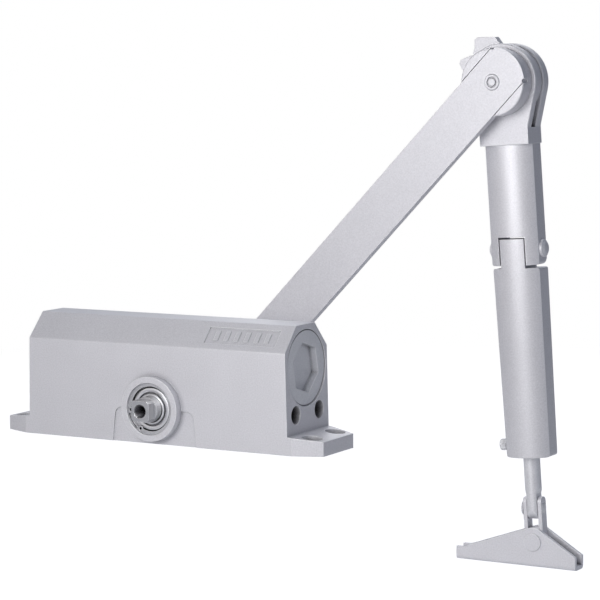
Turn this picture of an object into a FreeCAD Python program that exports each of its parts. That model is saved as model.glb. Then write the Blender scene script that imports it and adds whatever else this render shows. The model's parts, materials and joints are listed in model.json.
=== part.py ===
import FreeCAD, Part
import math
import os
import re
import Sketcher

# Surface-mounted door closer with a hold-open elbow arm.
# Frame: origin at the centre of the housing's mounting face, +X along the housing, +Y towards the
# arms, +Z away from the mounting face. Lengths in millimetres, angles in degrees.
# Pieces of the arms are drawn in the frame of their own pivot and then placed there.

SIZES = {
    # housing
    "housing_height": 60.0,
    "housing_width": 40.0,
    "housing_length": 148.5,
    "end_draft": 1.25,
    "top_width": 17.5,
    "slope_start": 48.0,
    "foot_length": 16.25,
    "foot_thickness": 7.0,
    "foot_rise": 1.8,
    "foot_end_width": 29.0,
    "foot_shoulder": 2.3,
    "edge_round": 1.2,
    "screw_pitch_x": 165.0,
    "screw_pitch_y": 22.0,
    "screw_hole_radius": 2.75,
    "screw_head_radius": 5.0,
    "screw_head_depth": 2.6,
    "seat_depth": 0.6,
    "seat_foot_width": 48.5,
    "seat_top_width": 45.5,
    "seat_height": 17.0,
    "plate_length": 39.0,
    "plate_height": 9.4,
    "plate_depth": 0.4,
    "plate_offset": 46.8,
    # cylinder, plugs and piston
    "cylinder_height": 39.3,
    "cylinder_radius": 16.5,
    "plug_radius": 18.4,
    "plug_length": 12.0,
    "plug_hex": 22.0,
    "plug_hex_depth": 3.6,
    "plug_hex_turn": -17.0,
    "seal_wire": 1.6,
    "piston_clearance": 0.04,
    "piston_tail": 8.0,
    "piston_clear": 12.0,
    "piston_wall": 4.0,
    "piston_web": 8.0,
    "piston_valve_height": 4.0,
    "closing_coil_gap": 2.3,
    "closing_wire": 1.6,
    "closing_turns": 5.0,
    "check_bore": 3.2,
    "check_ball_radius": 2.4,
    # rack and pinion
    "gear_module": 2.0,
    "pinion_teeth": 9.0,
    "pressure_angle": 20.0,
    "rack_teeth": 6.0,
    "rack_left": 13.0,
    "rack_tip": 1.0,
    "rack_root": 2.0,
    "pinion_tip": 1.6,
    "pinion_root": 1.6,
    "backlash": 0.3,
    "gear_width": 16.0,
    "arm_travel": 135.0,
    # spindle and its bearings
    "spindle_height": 17.6,
    "boss_radius": 15.7,
    "boss_proud": 4.5,
    "boss_bore": 12.8,
    "journal_radius": 8.0,
    "neck_radius": 6.3,
    "square_size": 10.0,
    "square_proud": 12.2,
    "square_length": 5.2,
    "square_thread_radius": 3.3,
    "square_thread_depth": 14.0,
    "chamber_half": 13.6,
    "chamber_radius": 11.4,
    "bearing_width": 6.0,
    "bearing_radius": 12.2,
    "running_gap": 0.05,
    "collar_radius": 9.3,
    "circlip_inner": 10.9,
    "circlip_wire": 1.2,
    "circlip_depth": 1.4,
    "circlip_gap_angle": 212.5,
    "circlip_gap": 27.0,
    "circlip_groove": 0.6,
    "circlip_lug": 1.5,
    # valves
    "valve_pitch": 22.2,
    "valve_height": 18.0,
    "valve_mouth": 4.4,
    "valve_bore": 3.0,
    "valve_mouth_depth": 6.0,
    "valve_depth": 26.0,
    "valve_seal": 0.5,
    "valve_head_gap": 1.0,
    "duct_radius": 1.2,
    # main arm and elbow
    "arm_angle": 45.9,
    "arm_length": 216.3,
    "arm_width": 22.5,
    "arm_thickness": 4.5,
    "arm_plane": 41.0,
    "crank_start": 20.0,
    "crank_end": 38.0,
    "arm_gap": 0.2,
    "arm_screw_radius": 6.5,
    "arm_screw_head": 4.6,
    "arm_washer_radius": 9.0,
    "arm_washer": 1.6,
    "disc_radius": 16.0,
    "disc_depth": 9.0,
    "disc_hub": 6.0,
    "arm_end_radius": 16.3,
    "arm_notch": 1.1,
    "channel_gap": 0.3,
    "fit_gap": 0.1,
    "rivet_radius": 2.6,
    "rivet_head_radius": 3.9,
    "rivet_button": 1.9,
    "rivet_ring": 0.6,
    "rivet_tail_radius": 5.6,
    "rivet_tail": 1.6,
    "rivet_proud": 0.5,
    "washer_thickness": 0.8,
    "cheek_radius": 18.0,
    "front_cheek": 4.5,
    "cam_slot": 4.8,
    "back_cheek": 5.8,
    "side_gap": 0.3,
    "cam_radius": 17.1,
    "cam_lobe_radius": 25.2,
    "cam_notch_radius": 21.4,
    # forearm, distances measured from the elbow pivot
    "forearm_lean": 3.85,
    "core_depth": 5.2,
    "head_width": 25.0,
    "slot_floor": 22.0,
    "rim_chamfer": 0.4,
    "head_end": 29.7,
    "tube_half_width": 12.2,
    "tube_flat": 10.0,
    "tube_crown": 4.8,
    "fold_distance": 79.3,
    "ear_end": 86.7,
    "ear_slot": 73.2,
    "ear_round": 3.6,
    "tongue_end": 74.1,
    "tongue_width": 12.4,
    "tongue_gap": 0.6,
    "fold_pin_radius": 2.8,
    "pin_head_radius": 4.4,
    "pin_head": 2.4,
    "shoulder": 88.1,
    "shoulder_round": 1.3,
    "tube_end": 178.5,
    "tube_end_half_width": 11.2,
    "tube_end_flat": 8.8,
    "rod_radius": 4.0,
    "rod_top": 118.0,
    "rod_spare": 14.0,
    "rod_neck": 193.5,
    "tang_start": 196.5,
    "tang_thickness": 5.2,
    "link_pin_distance": 203.5,
    "tang_end_radius": 5.3,
    "clamp_distance": 172.8,
    "clamp_head_radius": 2.9,
    "clamp_head": 3.6,
    "clamp_radius": 2.0,
    "clamp_stand": 0.6,
    "clamp_ribs": 12.0,
    "plunger_radius": 3.9,
    "plunger_nose": 2.0,
    "plunger_step": 31.0,
    "plunger_length": 20.0,
    "spring_chamber": 4.4,
    "spring_chamber_end": 62.0,
    "hold_coil_radius": 3.0,
    "hold_wire": 0.5,
    "hold_turns": 9.0,
    # link fork and shoe
    "fork_cheek": 1.9,
    "fork_depth": 5.6,
    "fork_gap": 0.25,
    "fork_top_radius": 5.5,
    "fork_block_top": 213.4,
    "link_pin_radius": 2.2,
    "shoe_distance": 219.4,
    "fork_foot_radius": 4.4,
    "shoe_pin_radius": 2.4,
    "shoe_pin_head": 0.7,
    "shoe_wall": 1.9,
    "shoe_gap": 0.15,
    "shoe_left": 40.3,
    "shoe_step": 4.0,
    "shoe_right": 22.1,
    "shoe_apex_radius": 7.0,
    "shoe_base": 12.0,
    "shoe_end_height": 6.4,
    "shoe_floor": 2.0,
    "shoe_hole_radius": 2.2,
    "shoe_hole_left": 31.0,
    "shoe_hole_right": 14.5,
}


def sized(expression):
    """Turns the size names in an expression into references to the sheet."""
    def reference(match):
        name = match.group()
        return "Sizes." + name if name in SIZES else name
    return re.sub(r"[A-Za-z_][A-Za-z_0-9]*", reference, str(expression))


def value(doc, expression):
    return float(doc.Sizes.evalExpression(sized(expression)))


def makeSheet(doc):
    sheet = doc.addObject("Spreadsheet::Sheet", "Sizes")
    for row, (name, size) in enumerate(SIZES.items(), start=1):
        sheet.set(f"A{row}", name)
        sheet.set(f"B{row}", str(size))
        sheet.setAlias(f"B{row}", name)
    doc.recompute()


class Piece:
    """One piece of the closer: a body whose sketches are bound to the sheet.

    Spans are given along X, Y or Z. Outline points are (x, z) for a span along Y, (y, z) along X and
    (x, y) along Z. A third number on a point makes the line to the next point an arc of that radius,
    bulging to the right of the direction of travel when positive, and to the left when negative.
    """

    PLANES = {"X": "YZ_Plane", "Y": "XZ_Plane", "Z": "XY_Plane"}

    def __init__(self, doc, label):
        self.doc = doc
        self.label = label
        self.body = doc.addObject("PartDesign::Body", label)
        self.body.Label = label

    def add(self, kind, word):
        return self.body.newObject(kind, f"{self.label}_{word}")

    def sketch(self, axis, level):
        sketch = self.add("Sketcher::SketchObject", "sketch")
        planes = [item for item in self.body.Origin.OriginFeatures if item.Role == self.PLANES[axis]]
        sketch.AttachmentSupport = [(planes[0], "")]
        sketch.MapMode = "FlatFace"
        sign = "-" if axis == "Y" else ""
        sketch.setExpression("AttachmentOffset.Base.z", sized(f"{sign}({level})"))
        return sketch

    def bind(self, sketch, constraint, expression):
        index = sketch.addConstraint(constraint)
        sketch.setExpression(f"Constraints[{index}]", sized(expression))

    def pin(self, sketch, geometry, position, across, up):
        for kind, expression in (("DistanceX", across), ("DistanceY", up)):
            number = value(self.doc, expression)
            self.bind(sketch, Sketcher.Constraint(kind, -1, 1, geometry, position, number), expression)

    def circle(self, sketch, across, up, radius):
        centre = FreeCAD.Vector(value(self.doc, across), value(self.doc, up), 0)
        size = value(self.doc, radius)
        geometry = sketch.addGeometry(Part.Circle(centre, FreeCAD.Vector(0, 0, 1), size))
        self.pin(sketch, geometry, 3, across, up)
        self.bind(sketch, Sketcher.Constraint("Radius", geometry, size), radius)

    def outline(self, sketch, points):
        places = [FreeCAD.Vector(value(self.doc, point[0]), value(self.doc, point[1]), 0) for point in points]
        ends = []
        for index, point in enumerate(points):
            start = places[index]
            stop = places[(index + 1) % len(points)]
            if len(point) == 2:
                geometry = sketch.addGeometry(Part.LineSegment(start, stop))
                ends.append((geometry, 1, 2))
                continue
            radius = value(self.doc, point[2])
            middle = arcMiddle(start, stop, radius)
            geometry = sketch.addGeometry(Part.Arc(start, middle, stop))
            forward = sketch.getPoint(geometry, 1).distanceToPoint(start) < 1e-6
            ends.append((geometry, 1, 2) if forward else (geometry, 2, 1))
            size = str(point[2]) if radius > 0 else f"-({point[2]})"
            self.bind(sketch, Sketcher.Constraint("Radius", geometry, abs(radius)), size)
        for index, (geometry, start, stop) in enumerate(ends):
            follower = ends[(index + 1) % len(ends)]
            sketch.addConstraint(Sketcher.Constraint("Coincident", geometry, stop, follower[0], follower[1]))
            self.pin(sketch, geometry, start, *points[index][:2])

    def drawn(self, axis, level, points, circles):
        sketch = self.sketch(axis, level)
        if points:
            self.outline(sketch, points)
        for circle in circles:
            self.circle(sketch, *circle)
        return sketch

    def pad(self, axis, low, high, points=None, circles=()):
        level = high if axis == "Y" else low
        feature = self.add("PartDesign::Pad", "pad")
        feature.Profile = self.drawn(axis, level, points, circles)
        feature.setExpression("Length", sized(f"({high}) - ({low})"))
        self.doc.recompute()
        return feature

    def cut(self, axis, low, high, points=None, circles=()):
        level = low if axis == "Y" else high
        feature = self.add("PartDesign::Pocket", "cut")
        feature.Profile = self.drawn(axis, level, points, circles)
        feature.setExpression("Length", sized(f"({high}) - ({low})"))
        self.doc.recompute()
        return feature

    def turned(self, kind, axis, points):
        """Profile points are (distance along the axis, radius)."""
        plane = "X" if axis == "Y" else "Y"
        if axis == "Z":
            points = [(point[1], point[0]) + tuple(point[2:]) for point in points]
        sketch = self.drawn(plane, "0", points, ())
        feature = self.add(kind, "turn")
        feature.Profile = sketch
        feature.ReferenceAxis = (sketch, ["V_Axis" if axis == "Z" else "H_Axis"])
        feature.Angle = 360
        self.doc.recompute()
        return feature

    def turn(self, axis, points):
        return self.turned("PartDesign::Revolution", axis, points)

    def polar(self, feature, axis, count):
        sketch = feature.Profile[0]
        pattern = self.add("PartDesign::PolarPattern", "pattern")
        pattern.Originals = [feature]
        axes = [item for item in self.body.Origin.OriginFeatures if item.Role == f"{axis}_Axis"]
        pattern.Axis = (axes[0], [""])
        pattern.Angle = 360
        pattern.setExpression("Occurrences", sized(count))
        self.body.Tip = pattern
        sketch.Visibility = False
        self.doc.recompute()

    def row(self, feature, axis, count, length):
        pattern = self.add("PartDesign::LinearPattern", "pattern")
        pattern.Originals = [feature]
        axes = [item for item in self.body.Origin.OriginFeatures if item.Role == f"{axis}_Axis"]
        pattern.Direction = (axes[0], [""])
        pattern.setExpression("Length", sized(length))
        pattern.setExpression("Occurrences", sized(count))
        self.body.Tip = pattern
        self.doc.recompute()

    def dress(self, kind, size, chosen):
        """Fillet or Chamfer on the edges that the function chosen accepts."""
        base = self.body.Tip
        names = [f"Edge{index}" for index, edge in enumerate(base.Shape.Edges, start=1) if chosen(edge)]
        if not names:
            raise RuntimeError(f"{self.label}: no edge to {kind.lower()}")
        feature = self.add("PartDesign::" + kind, kind.lower())
        feature.Base = (base, names)
        feature.setExpression("Radius" if kind == "Fillet" else "Size", sized(size))
        self.doc.recompute()

    def place(self, across="0", depth="0", up="0", turn="0", about="0; 1; 0"):
        place = f"vector({across}; {depth}; {up})"
        rotation = f"rotation(vector({about}); {turn})"
        self.body.setExpression("Placement", sized(f"placement({place}; {rotation})"))
        self.doc.recompute()


def arcMiddle(start, stop, radius):
    """The middle of the short arc between two points."""
    half = stop.sub(start).multiply(0.5)
    sagitta = abs(radius) - math.sqrt(max(radius * radius - half.Length * half.Length, 0.0))
    right = FreeCAD.Vector(half.y, -half.x, 0).normalize()
    side = 1 if radius > 0 else -1
    return start.add(half).add(right.multiply(side * sagitta))


def span(side, near, far):
    """A span from near to far, on the positive or the negative side."""
    return (near, far) if side > 0 else (f"-({far})", f"-({near})")


def hexagon(flats, turn):
    corner = f"({flats})/2/cos(30)"
    return [(f"{corner}*cos({turn} + {60 * k})", f"{corner}*sin({turn} + {60 * k})") for k in range(6)]


def tangentAngle(across, up, radius, side):
    """Angle at which a line from a point touches a circle about the origin."""
    distance = f"sqrt(({across})^2 + ({up})^2)"
    return f"(atan2({up}; {across}) + {side}*acos(({radius})/{distance}))"


def along(edge, axis):
    """True for a straight edge parallel to an axis."""
    if edge.Curve.TypeId != "Part::GeomLine":
        return False
    direction = edge.Vertexes[-1].Point.sub(edge.Vertexes[0].Point).normalize()
    return abs(abs(getattr(direction, axis)) - 1) < 1e-4


# ---- places shared by several pieces

FACE = "housing_width/2"
BOSS_FACE = "(housing_width/2 + boss_proud)"
PLUG_FACE = "(housing_length/2 - end_draft)"
SPINDLE_END = "(housing_width/2 + square_proud)"
ELBOW_X = "(arm_length*cos(arm_angle))"
ELBOW_Z = "(spindle_height + arm_length*sin(arm_angle))"
PITCH_RADIUS = "(gear_module*pinion_teeth/2)"
PISTON_RIGHT = f"({PLUG_FACE} - plug_length - 0.5)"
TRAVEL = f"({PITCH_RADIUS}*arm_travel*pi/180)"
CHEEK_FRONT = "(arm_plane + disc_depth + side_gap)"
SLOT_FRONT = "(arm_plane + disc_depth + side_gap + front_cheek)"
SLOT_BACK = "(arm_plane + disc_depth + side_gap + front_cheek + cam_slot)"
ARM_BACK = "(arm_plane + disc_depth + side_gap + front_cheek + cam_slot + back_cheek)"
SLOT_MIDDLE = "(arm_plane + disc_depth + side_gap + front_cheek + cam_slot/2)"
CORE = "(arm_plane + disc_depth + side_gap + front_cheek + cam_slot + back_cheek - core_depth)"


# ---- housing and what it holds

def makeHousing(doc):
    piece = Piece(doc, "housing")
    half = "housing_length/2"
    foot = "(housing_length/2 + foot_length)"
    neck = f"({half} - end_draft*(foot_thickness + foot_rise)/housing_height)"
    right = [(foot, "0"), (foot, "foot_thickness"), (neck, "foot_thickness + foot_rise"),
             (PLUG_FACE, "housing_height")]
    left = [(f"-({across})", up) for across, up in reversed(right)]
    piece.pad("Y", f"-{FACE}", FACE, right + left)
    for side in (-1, 1):
        slope = [(f"{side}*{FACE}", "slope_start"), (f"{side}*{FACE}", "housing_height"),
                 (f"{side}*top_width/2", "housing_height")]
        piece.cut("X", f"-{foot}", foot, slope)
    for end in (-1, 1):
        for side in (-1, 1):
            corner = [(f"{end}*({half} + foot_shoulder)", f"{side}*{FACE}"),
                      (f"{end}*{foot}", f"{side}*foot_end_width/2"), (f"{end}*{foot}", f"{side}*{FACE}")]
            piece.cut("Z", "-1", "foot_thickness + foot_rise", corner)
    sloped = value(doc, "slope_start") - 1
    piece.dress("Fillet", "edge_round", lambda edge: along(edge, "x") and edge.CenterOfMass.z > sloped)
    cutSeats(piece)
    piece.pad("Y", f"-{BOSS_FACE}", BOSS_FACE, circles=[("0", "spindle_height", "boss_radius")])
    cutBores(piece)
    cutValves(piece)
    cutFootHoles(piece)
    addNamePlate(piece)
    return piece


def cutSeats(piece):
    """Shallow machined seats around the spindle bosses, with rounded upper corners."""
    low = "seat_foot_width/2"
    high = "seat_top_width/2"
    corner = "4"
    seat = [(f"-{low}", "-1"), (low, "-1"), (high, f"seat_height - {corner}", f"{corner}*1.05"),
            (f"{high} - {corner}", "seat_height"), (f"{corner} - {high}", "seat_height", f"{corner}*1.05"),
            (f"-{high}", f"seat_height - {corner}")]
    for side in (-1, 1):
        piece.cut("Y", *span(side, f"{FACE} - seat_depth", f"{FACE} + 1"), seat)


def cutBores(piece):
    piece.cut("X", f"-{PLUG_FACE}", PLUG_FACE, circles=[("0", "cylinder_height", "cylinder_radius")])
    for side in (-1, 1):
        plug = [("0", "cylinder_height", "plug_radius")]
        piece.cut("X", *span(side, f"{PLUG_FACE} - plug_length", "housing_length/2 + 1"), circles=plug)
    chamber = [("0", "spindle_height", "chamber_radius")]
    piece.cut("Y", "-chamber_half", "chamber_half", circles=chamber)
    for side in (-1, 1):
        seat = [("0", "spindle_height", "bearing_radius")]
        piece.cut("Y", *span(side, "chamber_half", f"{BOSS_FACE} + 1"), circles=seat)
        bore = [("0", "spindle_height", "boss_bore")]
        piece.cut("Y", *span(side, "chamber_half + bearing_width", f"{BOSS_FACE} + 1"), circles=bore)
        groove = [("0", "spindle_height", "boss_bore + circlip_groove")]
        inner = f"{BOSS_FACE} - circlip_depth - circlip_wire"
        piece.cut("Y", *span(side, inner, f"{BOSS_FACE} - circlip_depth"), circles=groove)


def cutValves(piece):
    """Threaded valve bores with wider mouths in the +X end face, and the ducts up to the cylinder."""
    half = "housing_length/2"
    for side in (-1, 1):
        across = f"{side}*valve_pitch/2"
        piece.cut("X", f"{half} - valve_mouth_depth", f"{half} + 1", circles=[(across, "valve_height", "valve_mouth")])
        piece.cut("X", f"{half} - valve_depth", f"{half}", circles=[(across, "valve_height", "valve_bore")])
        for along_bore in (f"{half} - valve_depth + 2*duct_radius", f"{half} - plug_length - 2*duct_radius"):
            duct = [(along_bore, across, "duct_radius")]
            piece.cut("Z", "valve_height", "cylinder_height - cylinder_radius/2", circles=duct)


def cutFootHoles(piece):
    """Countersunk fixing holes, two in each foot."""
    for end in (-1, 1):
        for side in (-1, 1):
            place = (f"{end}*screw_pitch_x/2", f"{side}*screw_pitch_y/2")
            piece.cut("Z", "-1", "foot_thickness + foot_rise", circles=[place + ("screw_hole_radius",)])
            piece.cut("Z", "foot_thickness - screw_head_depth", "foot_thickness + foot_rise",
                      circles=[place + ("screw_head_radius",)])


def addNamePlate(piece):
    """A shallow recess on the front slope, with plain slanted bars standing in it."""
    turn = "atan2(housing_height - slope_start; housing_width/2 - top_width/2)"
    middle_y = "-(housing_width + top_width)/4"
    middle_z = "(housing_height + slope_start)/2"
    recess = piece.add("PartDesign::SubtractiveBox", "recess")
    sizes = {"Length": "plate_length", "Width": "plate_height", "Height": "plate_depth + 2"}
    placeBox(recess, sizes, "plate_offset", middle_y, middle_z, turn, "-plate_depth")
    piece.doc.recompute()
    for index in range(6):
        bar = piece.add("PartDesign::AdditiveBox", "bar")
        shift = f"plate_offset + ({index} - 2.5)*plate_length/7"
        sizes = {"Length": "plate_length/16", "Width": "plate_height*0.6", "Height": "plate_depth"}
        placeBox(bar, sizes, shift, middle_y, middle_z, turn, "-plate_depth*1.1")
        piece.doc.recompute()


def placeBox(box, sizes, middle_x, middle_y, middle_z, turn, rise):
    """Centres a box on a point of the slope, with its height along the slope's normal."""
    for name, expression in sizes.items():
        box.setExpression(name, sized(expression))
    width = sizes["Width"]
    across = f"{middle_x} - ({sizes['Length']})/2"
    depth = f"{middle_y} - ({width})/2*cos({turn}) - ({rise})*sin({turn})"
    up = f"{middle_z} - ({width})/2*sin({turn}) + ({rise})*cos({turn})"
    box.setExpression("Placement", sized(f"placement(vector({across}; {depth}; {up}); rotation(vector(1; 0; 0); {turn}))"))


def makePlug(doc, label, side):
    """Screwed end plug with a hexagon recess, drawn with its outer face at x = 0."""
    piece = Piece(doc, label)
    bevel = "0.4"
    groove = "(plug_length - 3*seal_wire)"
    piece.turn("X", [("0", "0"), ("0", f"plug_radius - {bevel}"), (f"-{bevel}", "plug_radius"),
                     (f"-{groove}", "plug_radius"), (f"-{groove}", "plug_radius - seal_wire"),
                     (f"-{groove} - seal_wire", "plug_radius - seal_wire"),
                     (f"-{groove} - seal_wire", "plug_radius"), ("-plug_length", "plug_radius"),
                     ("-plug_length", "0")])
    piece.cut("X", "-plug_hex_depth", "1", hexagon("plug_hex", "plug_hex_turn"))
    piece.place(across=f"{side}*{PLUG_FACE}", up="cylinder_height", turn="0" if side > 0 else "180", about="0; 0; 1")
    return piece


def makeSeal(doc, label, axis, radius, wire, **place):
    """O-ring: a round wire turned about its own axis."""
    ring = doc.addObject("Part::Torus", label)
    ring.Label = label
    ring.setExpression("Radius1", sized(radius))
    ring.setExpression("Radius2", sized(wire))
    about = "0; 1; 0" if axis == "X" else "1; 0; 0"
    across, depth, up = (place.get(name, "0") for name in ("across", "depth", "up"))
    text = f"placement(vector({across}; {depth}; {up}); rotation(vector({about}); 90))"
    ring.setExpression("Placement", sized(text))
    return ring


def makeBearing(doc, label, side):
    piece = Piece(doc, label)
    low, high = span(side, "chamber_half", "chamber_half + bearing_width")
    inner = "journal_radius + running_gap"
    piece.turn("Y", [(low, inner), (high, inner), (high, "bearing_radius"), (low, "bearing_radius")])
    piece.place(up="spindle_height")
    return piece


def makeCollar(doc, label, side):
    """Dished seal collar between the neck of the spindle and the circlip."""
    piece = Piece(doc, label)
    low = "chamber_half + bearing_width + side_gap"
    inner = "neck_radius + running_gap"
    rim = f"{BOSS_FACE} - circlip_depth - circlip_wire"
    points = [(low, inner), (low, "boss_bore"), (f"{rim} - 0.6", "boss_bore"), (f"{rim} - 0.6", "collar_radius + 0.4"),
              (f"{rim} - 0.6", "collar_radius"), (f"{rim} + 0.9", "collar_radius - 0.7"), (f"{rim} + 0.3", inner)]
    piece.turn("Y", [(f"{side}*({spot})", radius) for spot, radius in points])
    piece.place(up="spindle_height")
    return piece


def makeCirclip(doc, label, side):
    """Internal retaining ring: a ring with a gap and two drilled lugs."""
    piece = Piece(doc, label)
    low, high = span(side, f"{BOSS_FACE} - circlip_depth - circlip_wire", f"{BOSS_FACE} - circlip_depth")
    outer = "boss_bore + circlip_groove"
    piece.pad("Y", low, high, circles=[("0", "0", outer), ("0", "0", "circlip_inner")])
    lug = "(circlip_inner + circlip_lug*0.4)"
    turns = [f"circlip_gap_angle + {sign}*circlip_gap" for sign in (-1, 1)]
    for turn in turns:
        piece.pad("Y", low, high, circles=[(f"{lug}*cos({turn})", f"{lug}*sin({turn})", "circlip_lug")])
    gap = [("0", "0")]
    for sign in (-1, 1):
        turn = f"(circlip_gap_angle + {sign}*circlip_gap*0.72)"
        gap.append((f"20*cos({turn})", f"20*sin({turn})"))
    piece.cut("Y", low, high, gap)
    for turn in turns:
        hole = (f"{lug}*cos({turn})", f"{lug}*sin({turn})", "circlip_lug*0.45")
        piece.cut("Y", low, high, circles=[hole])
    piece.place(up="spindle_height")
    return piece


def flankAngle(radius):
    """Half the angle that a tooth takes up at a radius, from the involute of the pressure angle."""
    base = f"({PITCH_RADIUS}*cos(pressure_angle))"
    half_tooth = f"((pi*gear_module/2 - backlash)/2/{PITCH_RADIUS}*180/pi)"
    start = "(tan(pressure_angle)*180/pi - pressure_angle)"
    slope = f"(acos(min(1; {base}/({radius})))/(1 deg))"
    return f"({half_tooth} + {start} - (tan({slope})*180/pi - {slope}))"


def toothPoint(radius, side, share="1"):
    """A point of a flank, on either side of a tooth that stands half a pitch from the z axis."""
    reach = f"max({radius}; {PITCH_RADIUS}*cos(pressure_angle))"
    turn = f"({side}*{share}*{flankAngle(reach)} + 180/pinion_teeth)"
    return (f"({radius})*sin({turn})", f"({radius})*cos({turn})")


def makeSpindle(doc):
    """Pinion spindle: toothed middle, journals, necks and a drilled square at each end."""
    piece = Piece(doc, "spindle")
    root = f"({PITCH_RADIUS} - pinion_root)"
    journal = "chamber_half + bearing_width"
    half = [("gear_width/2", root), ("gear_width/2", "journal_radius"), (journal, "journal_radius"),
            (journal, "neck_radius"), (SPINDLE_END, "neck_radius")]
    mirrored = [(f"-({spot})", radius) for spot, radius in reversed(half)]
    piece.turn("Y", mirrored + half + [(SPINDLE_END, "0"), (f"-{SPINDLE_END}", "0")])
    tip = f"({PITCH_RADIUS} + pinion_tip)"
    base = f"({PITCH_RADIUS}*cos(pressure_angle))"
    radii = [base, f"({base} + {PITCH_RADIUS})/2", PITCH_RADIUS, f"({PITCH_RADIUS} + {tip})/2", tip]
    foot = f"({root} - 0.5)"
    tooth = [toothPoint(foot, 1, "0.9")] + [toothPoint(radius, 1) for radius in radii]
    tooth += [toothPoint(radius, -1) for radius in reversed(radii)] + [toothPoint(foot, -1, "0.9")]
    feature = piece.pad("Y", "-gear_width/2", "gear_width/2", tooth)
    piece.polar(feature, "Y", "pinion_teeth")
    for side in (-1, 1):
        low, high = span(side, f"{SPINDLE_END} - square_length", SPINDLE_END)
        square = [(f"{a}*square_size/2", f"{b}*square_size/2") for a, b in ((-1, -1), (1, -1), (1, 1), (-1, 1))]
        piece.cut("Y", low, high, square, circles=[("0", "0", "neck_radius + 1")])
        low, high = span(side, f"{SPINDLE_END} - square_thread_depth", SPINDLE_END)
        piece.cut("Y", low, high, circles=[("0", "0", "square_thread_radius")])
    piece.place(up="spindle_height")
    return piece


def makePiston(doc):
    """Piston in the cylinder: solid tail, rack on its underside, cupped head with a check valve bore."""
    piece = Piece(doc, "piston")
    radius = "(cylinder_radius - piston_clearance)"
    drop = "(cylinder_height - spindle_height - {})".format(PITCH_RADIUS)
    face = f"(rack_left + {TRAVEL} + piston_clear)"
    cup = "(cylinder_radius - piston_wall)"
    deep = f"({face} + piston_web)"
    tail = "-(rack_left + piston_tail)"
    blank = "cylinder_radius"
    piece.turn("X", [(tail, "0"), (tail, blank), (PISTON_RIGHT, blank), (PISTON_RIGHT, cup), (deep, cup), (deep, "0")])
    low = f"-({drop} - rack_root)"
    window = [("-rack_left", "-cylinder_radius"), (face, "-cylinder_radius"), (face, low), ("-rack_left", low)]
    piece.cut("Y", "-cylinder_radius", "cylinder_radius", window)
    tilt = "tan(pressure_angle)"
    half = "(pi*gear_module/4 - backlash/4)"
    root = f"({half} + rack_root*{tilt})"
    tip = f"({half} - rack_tip*{tilt})"
    pitch = "(pi*gear_module)"
    first = f"-{pitch}"
    tooth = [(f"{first} - {root}", f"-({drop} - rack_root) + 0.5"), (f"{first} - {root}", f"-({drop} - rack_root)"),
             (f"{first} - {tip}", f"-({drop} + rack_tip)"), (f"{first} + {tip}", f"-({drop} + rack_tip)"),
             (f"{first} + {root}", f"-({drop} - rack_root)"), (f"{first} + {root}", f"-({drop} - rack_root) + 0.5")]
    feature = piece.pad("Y", "-gear_width/2", "gear_width/2", tooth)
    piece.row(feature, "X", "rack_teeth", f"{pitch}*(rack_teeth - 1)")
    piece.cut("X", tail, PISTON_RIGHT, circles=[("0", "0", radius), ("0", "0", f"{blank}*1.5")])
    piece.cut("X", f"{face} - 1", f"{deep} + 1", circles=[("0", "piston_valve_height", "check_bore")])
    piece.place(up="cylinder_height")
    return piece


def makeCheckBall(doc):
    ball = doc.addObject("Part::Sphere", "check_ball")
    ball.Label = "check_ball"
    ball.setExpression("Radius", sized("check_ball_radius"))
    spot = f"rack_left + {TRAVEL} + piston_clear + piston_web/2"
    ball.setExpression("Placement", sized(f"placement(vector({spot}; 0; cylinder_height + piston_valve_height); rotation(vector(0; 0; 1); 0))"))
    return ball


def makeCheckRing(doc):
    """Pressed ring that keeps the ball in the piston head."""
    piece = Piece(doc, "check_valve_ring")
    low = f"rack_left + {TRAVEL} + piston_clear"
    high = f"{low} + 1.2"
    piece.turn("X", [(low, "check_bore*0.45"), (high, "check_bore*0.45"), (high, "check_bore"), (low, "check_bore")])
    piece.place(up="cylinder_height + piston_valve_height")
    return piece


def makeCoil(doc, label, axis, start, stop, radius, wire, turns, place):
    """Compression spring wound about an axis from start to stop."""
    piece = Piece(doc, label)
    helix = piece.add("PartDesign::AdditiveHelix", "coil")
    if axis == "X":
        sketch = piece.drawn("Y", "0", None, [(f"{start} + {wire}", radius, wire)])
    else:
        sketch = piece.drawn("Y", "0", None, [(radius, f"{start} + {wire}", wire)])
    helix.Profile = sketch
    helix.ReferenceAxis = (sketch, ["H_Axis" if axis == "X" else "V_Axis"])
    helix.Mode = "height-turns-angle"
    helix.setExpression("Height", sized(f"({stop}) - ({start}) - 2*({wire})"))
    helix.setExpression("Turns", sized(turns))
    piece.place(**place)
    return piece


def makeValveScrew(doc, label, side):
    """Slotted needle screw in a valve bore."""
    piece = Piece(doc, label)
    radius = "(valve_bore - running_gap)"
    head = "(housing_length/2 - valve_mouth_depth - valve_head_gap)"
    tip = "(housing_length/2 - valve_depth + 1)"
    groove = f"({head} - 3*valve_seal)"
    piece.turn("X", [(tip, "0"), (tip, "duct_radius*0.6"), (f"{tip} + 3", radius), (f"{groove} - 2*valve_seal", radius),
                     (f"{groove} - 2*valve_seal", f"{radius} - 2*valve_seal"), (groove, f"{radius} - 2*valve_seal"),
                     (groove, radius), (head, radius), (head, "0")])
    slot = [(f"{a}*{radius}", f"{b}*0.5") for a, b in ((-1.2, -1), (1.2, -1), (1.2, 1), (-1.2, 1))]
    piece.cut("X", f"{head} - 1.5", f"{head} + 1", slot)
    piece.place(depth=f"{side}*valve_pitch/2", up="valve_height")
    return piece


# ---- main arm and elbow

def placeArm(piece):
    piece.place(up="spindle_height", turn="-arm_angle")


def placeForearm(piece):
    piece.place(across=ELBOW_X, up=ELBOW_Z, turn="-forearm_lean")


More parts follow.
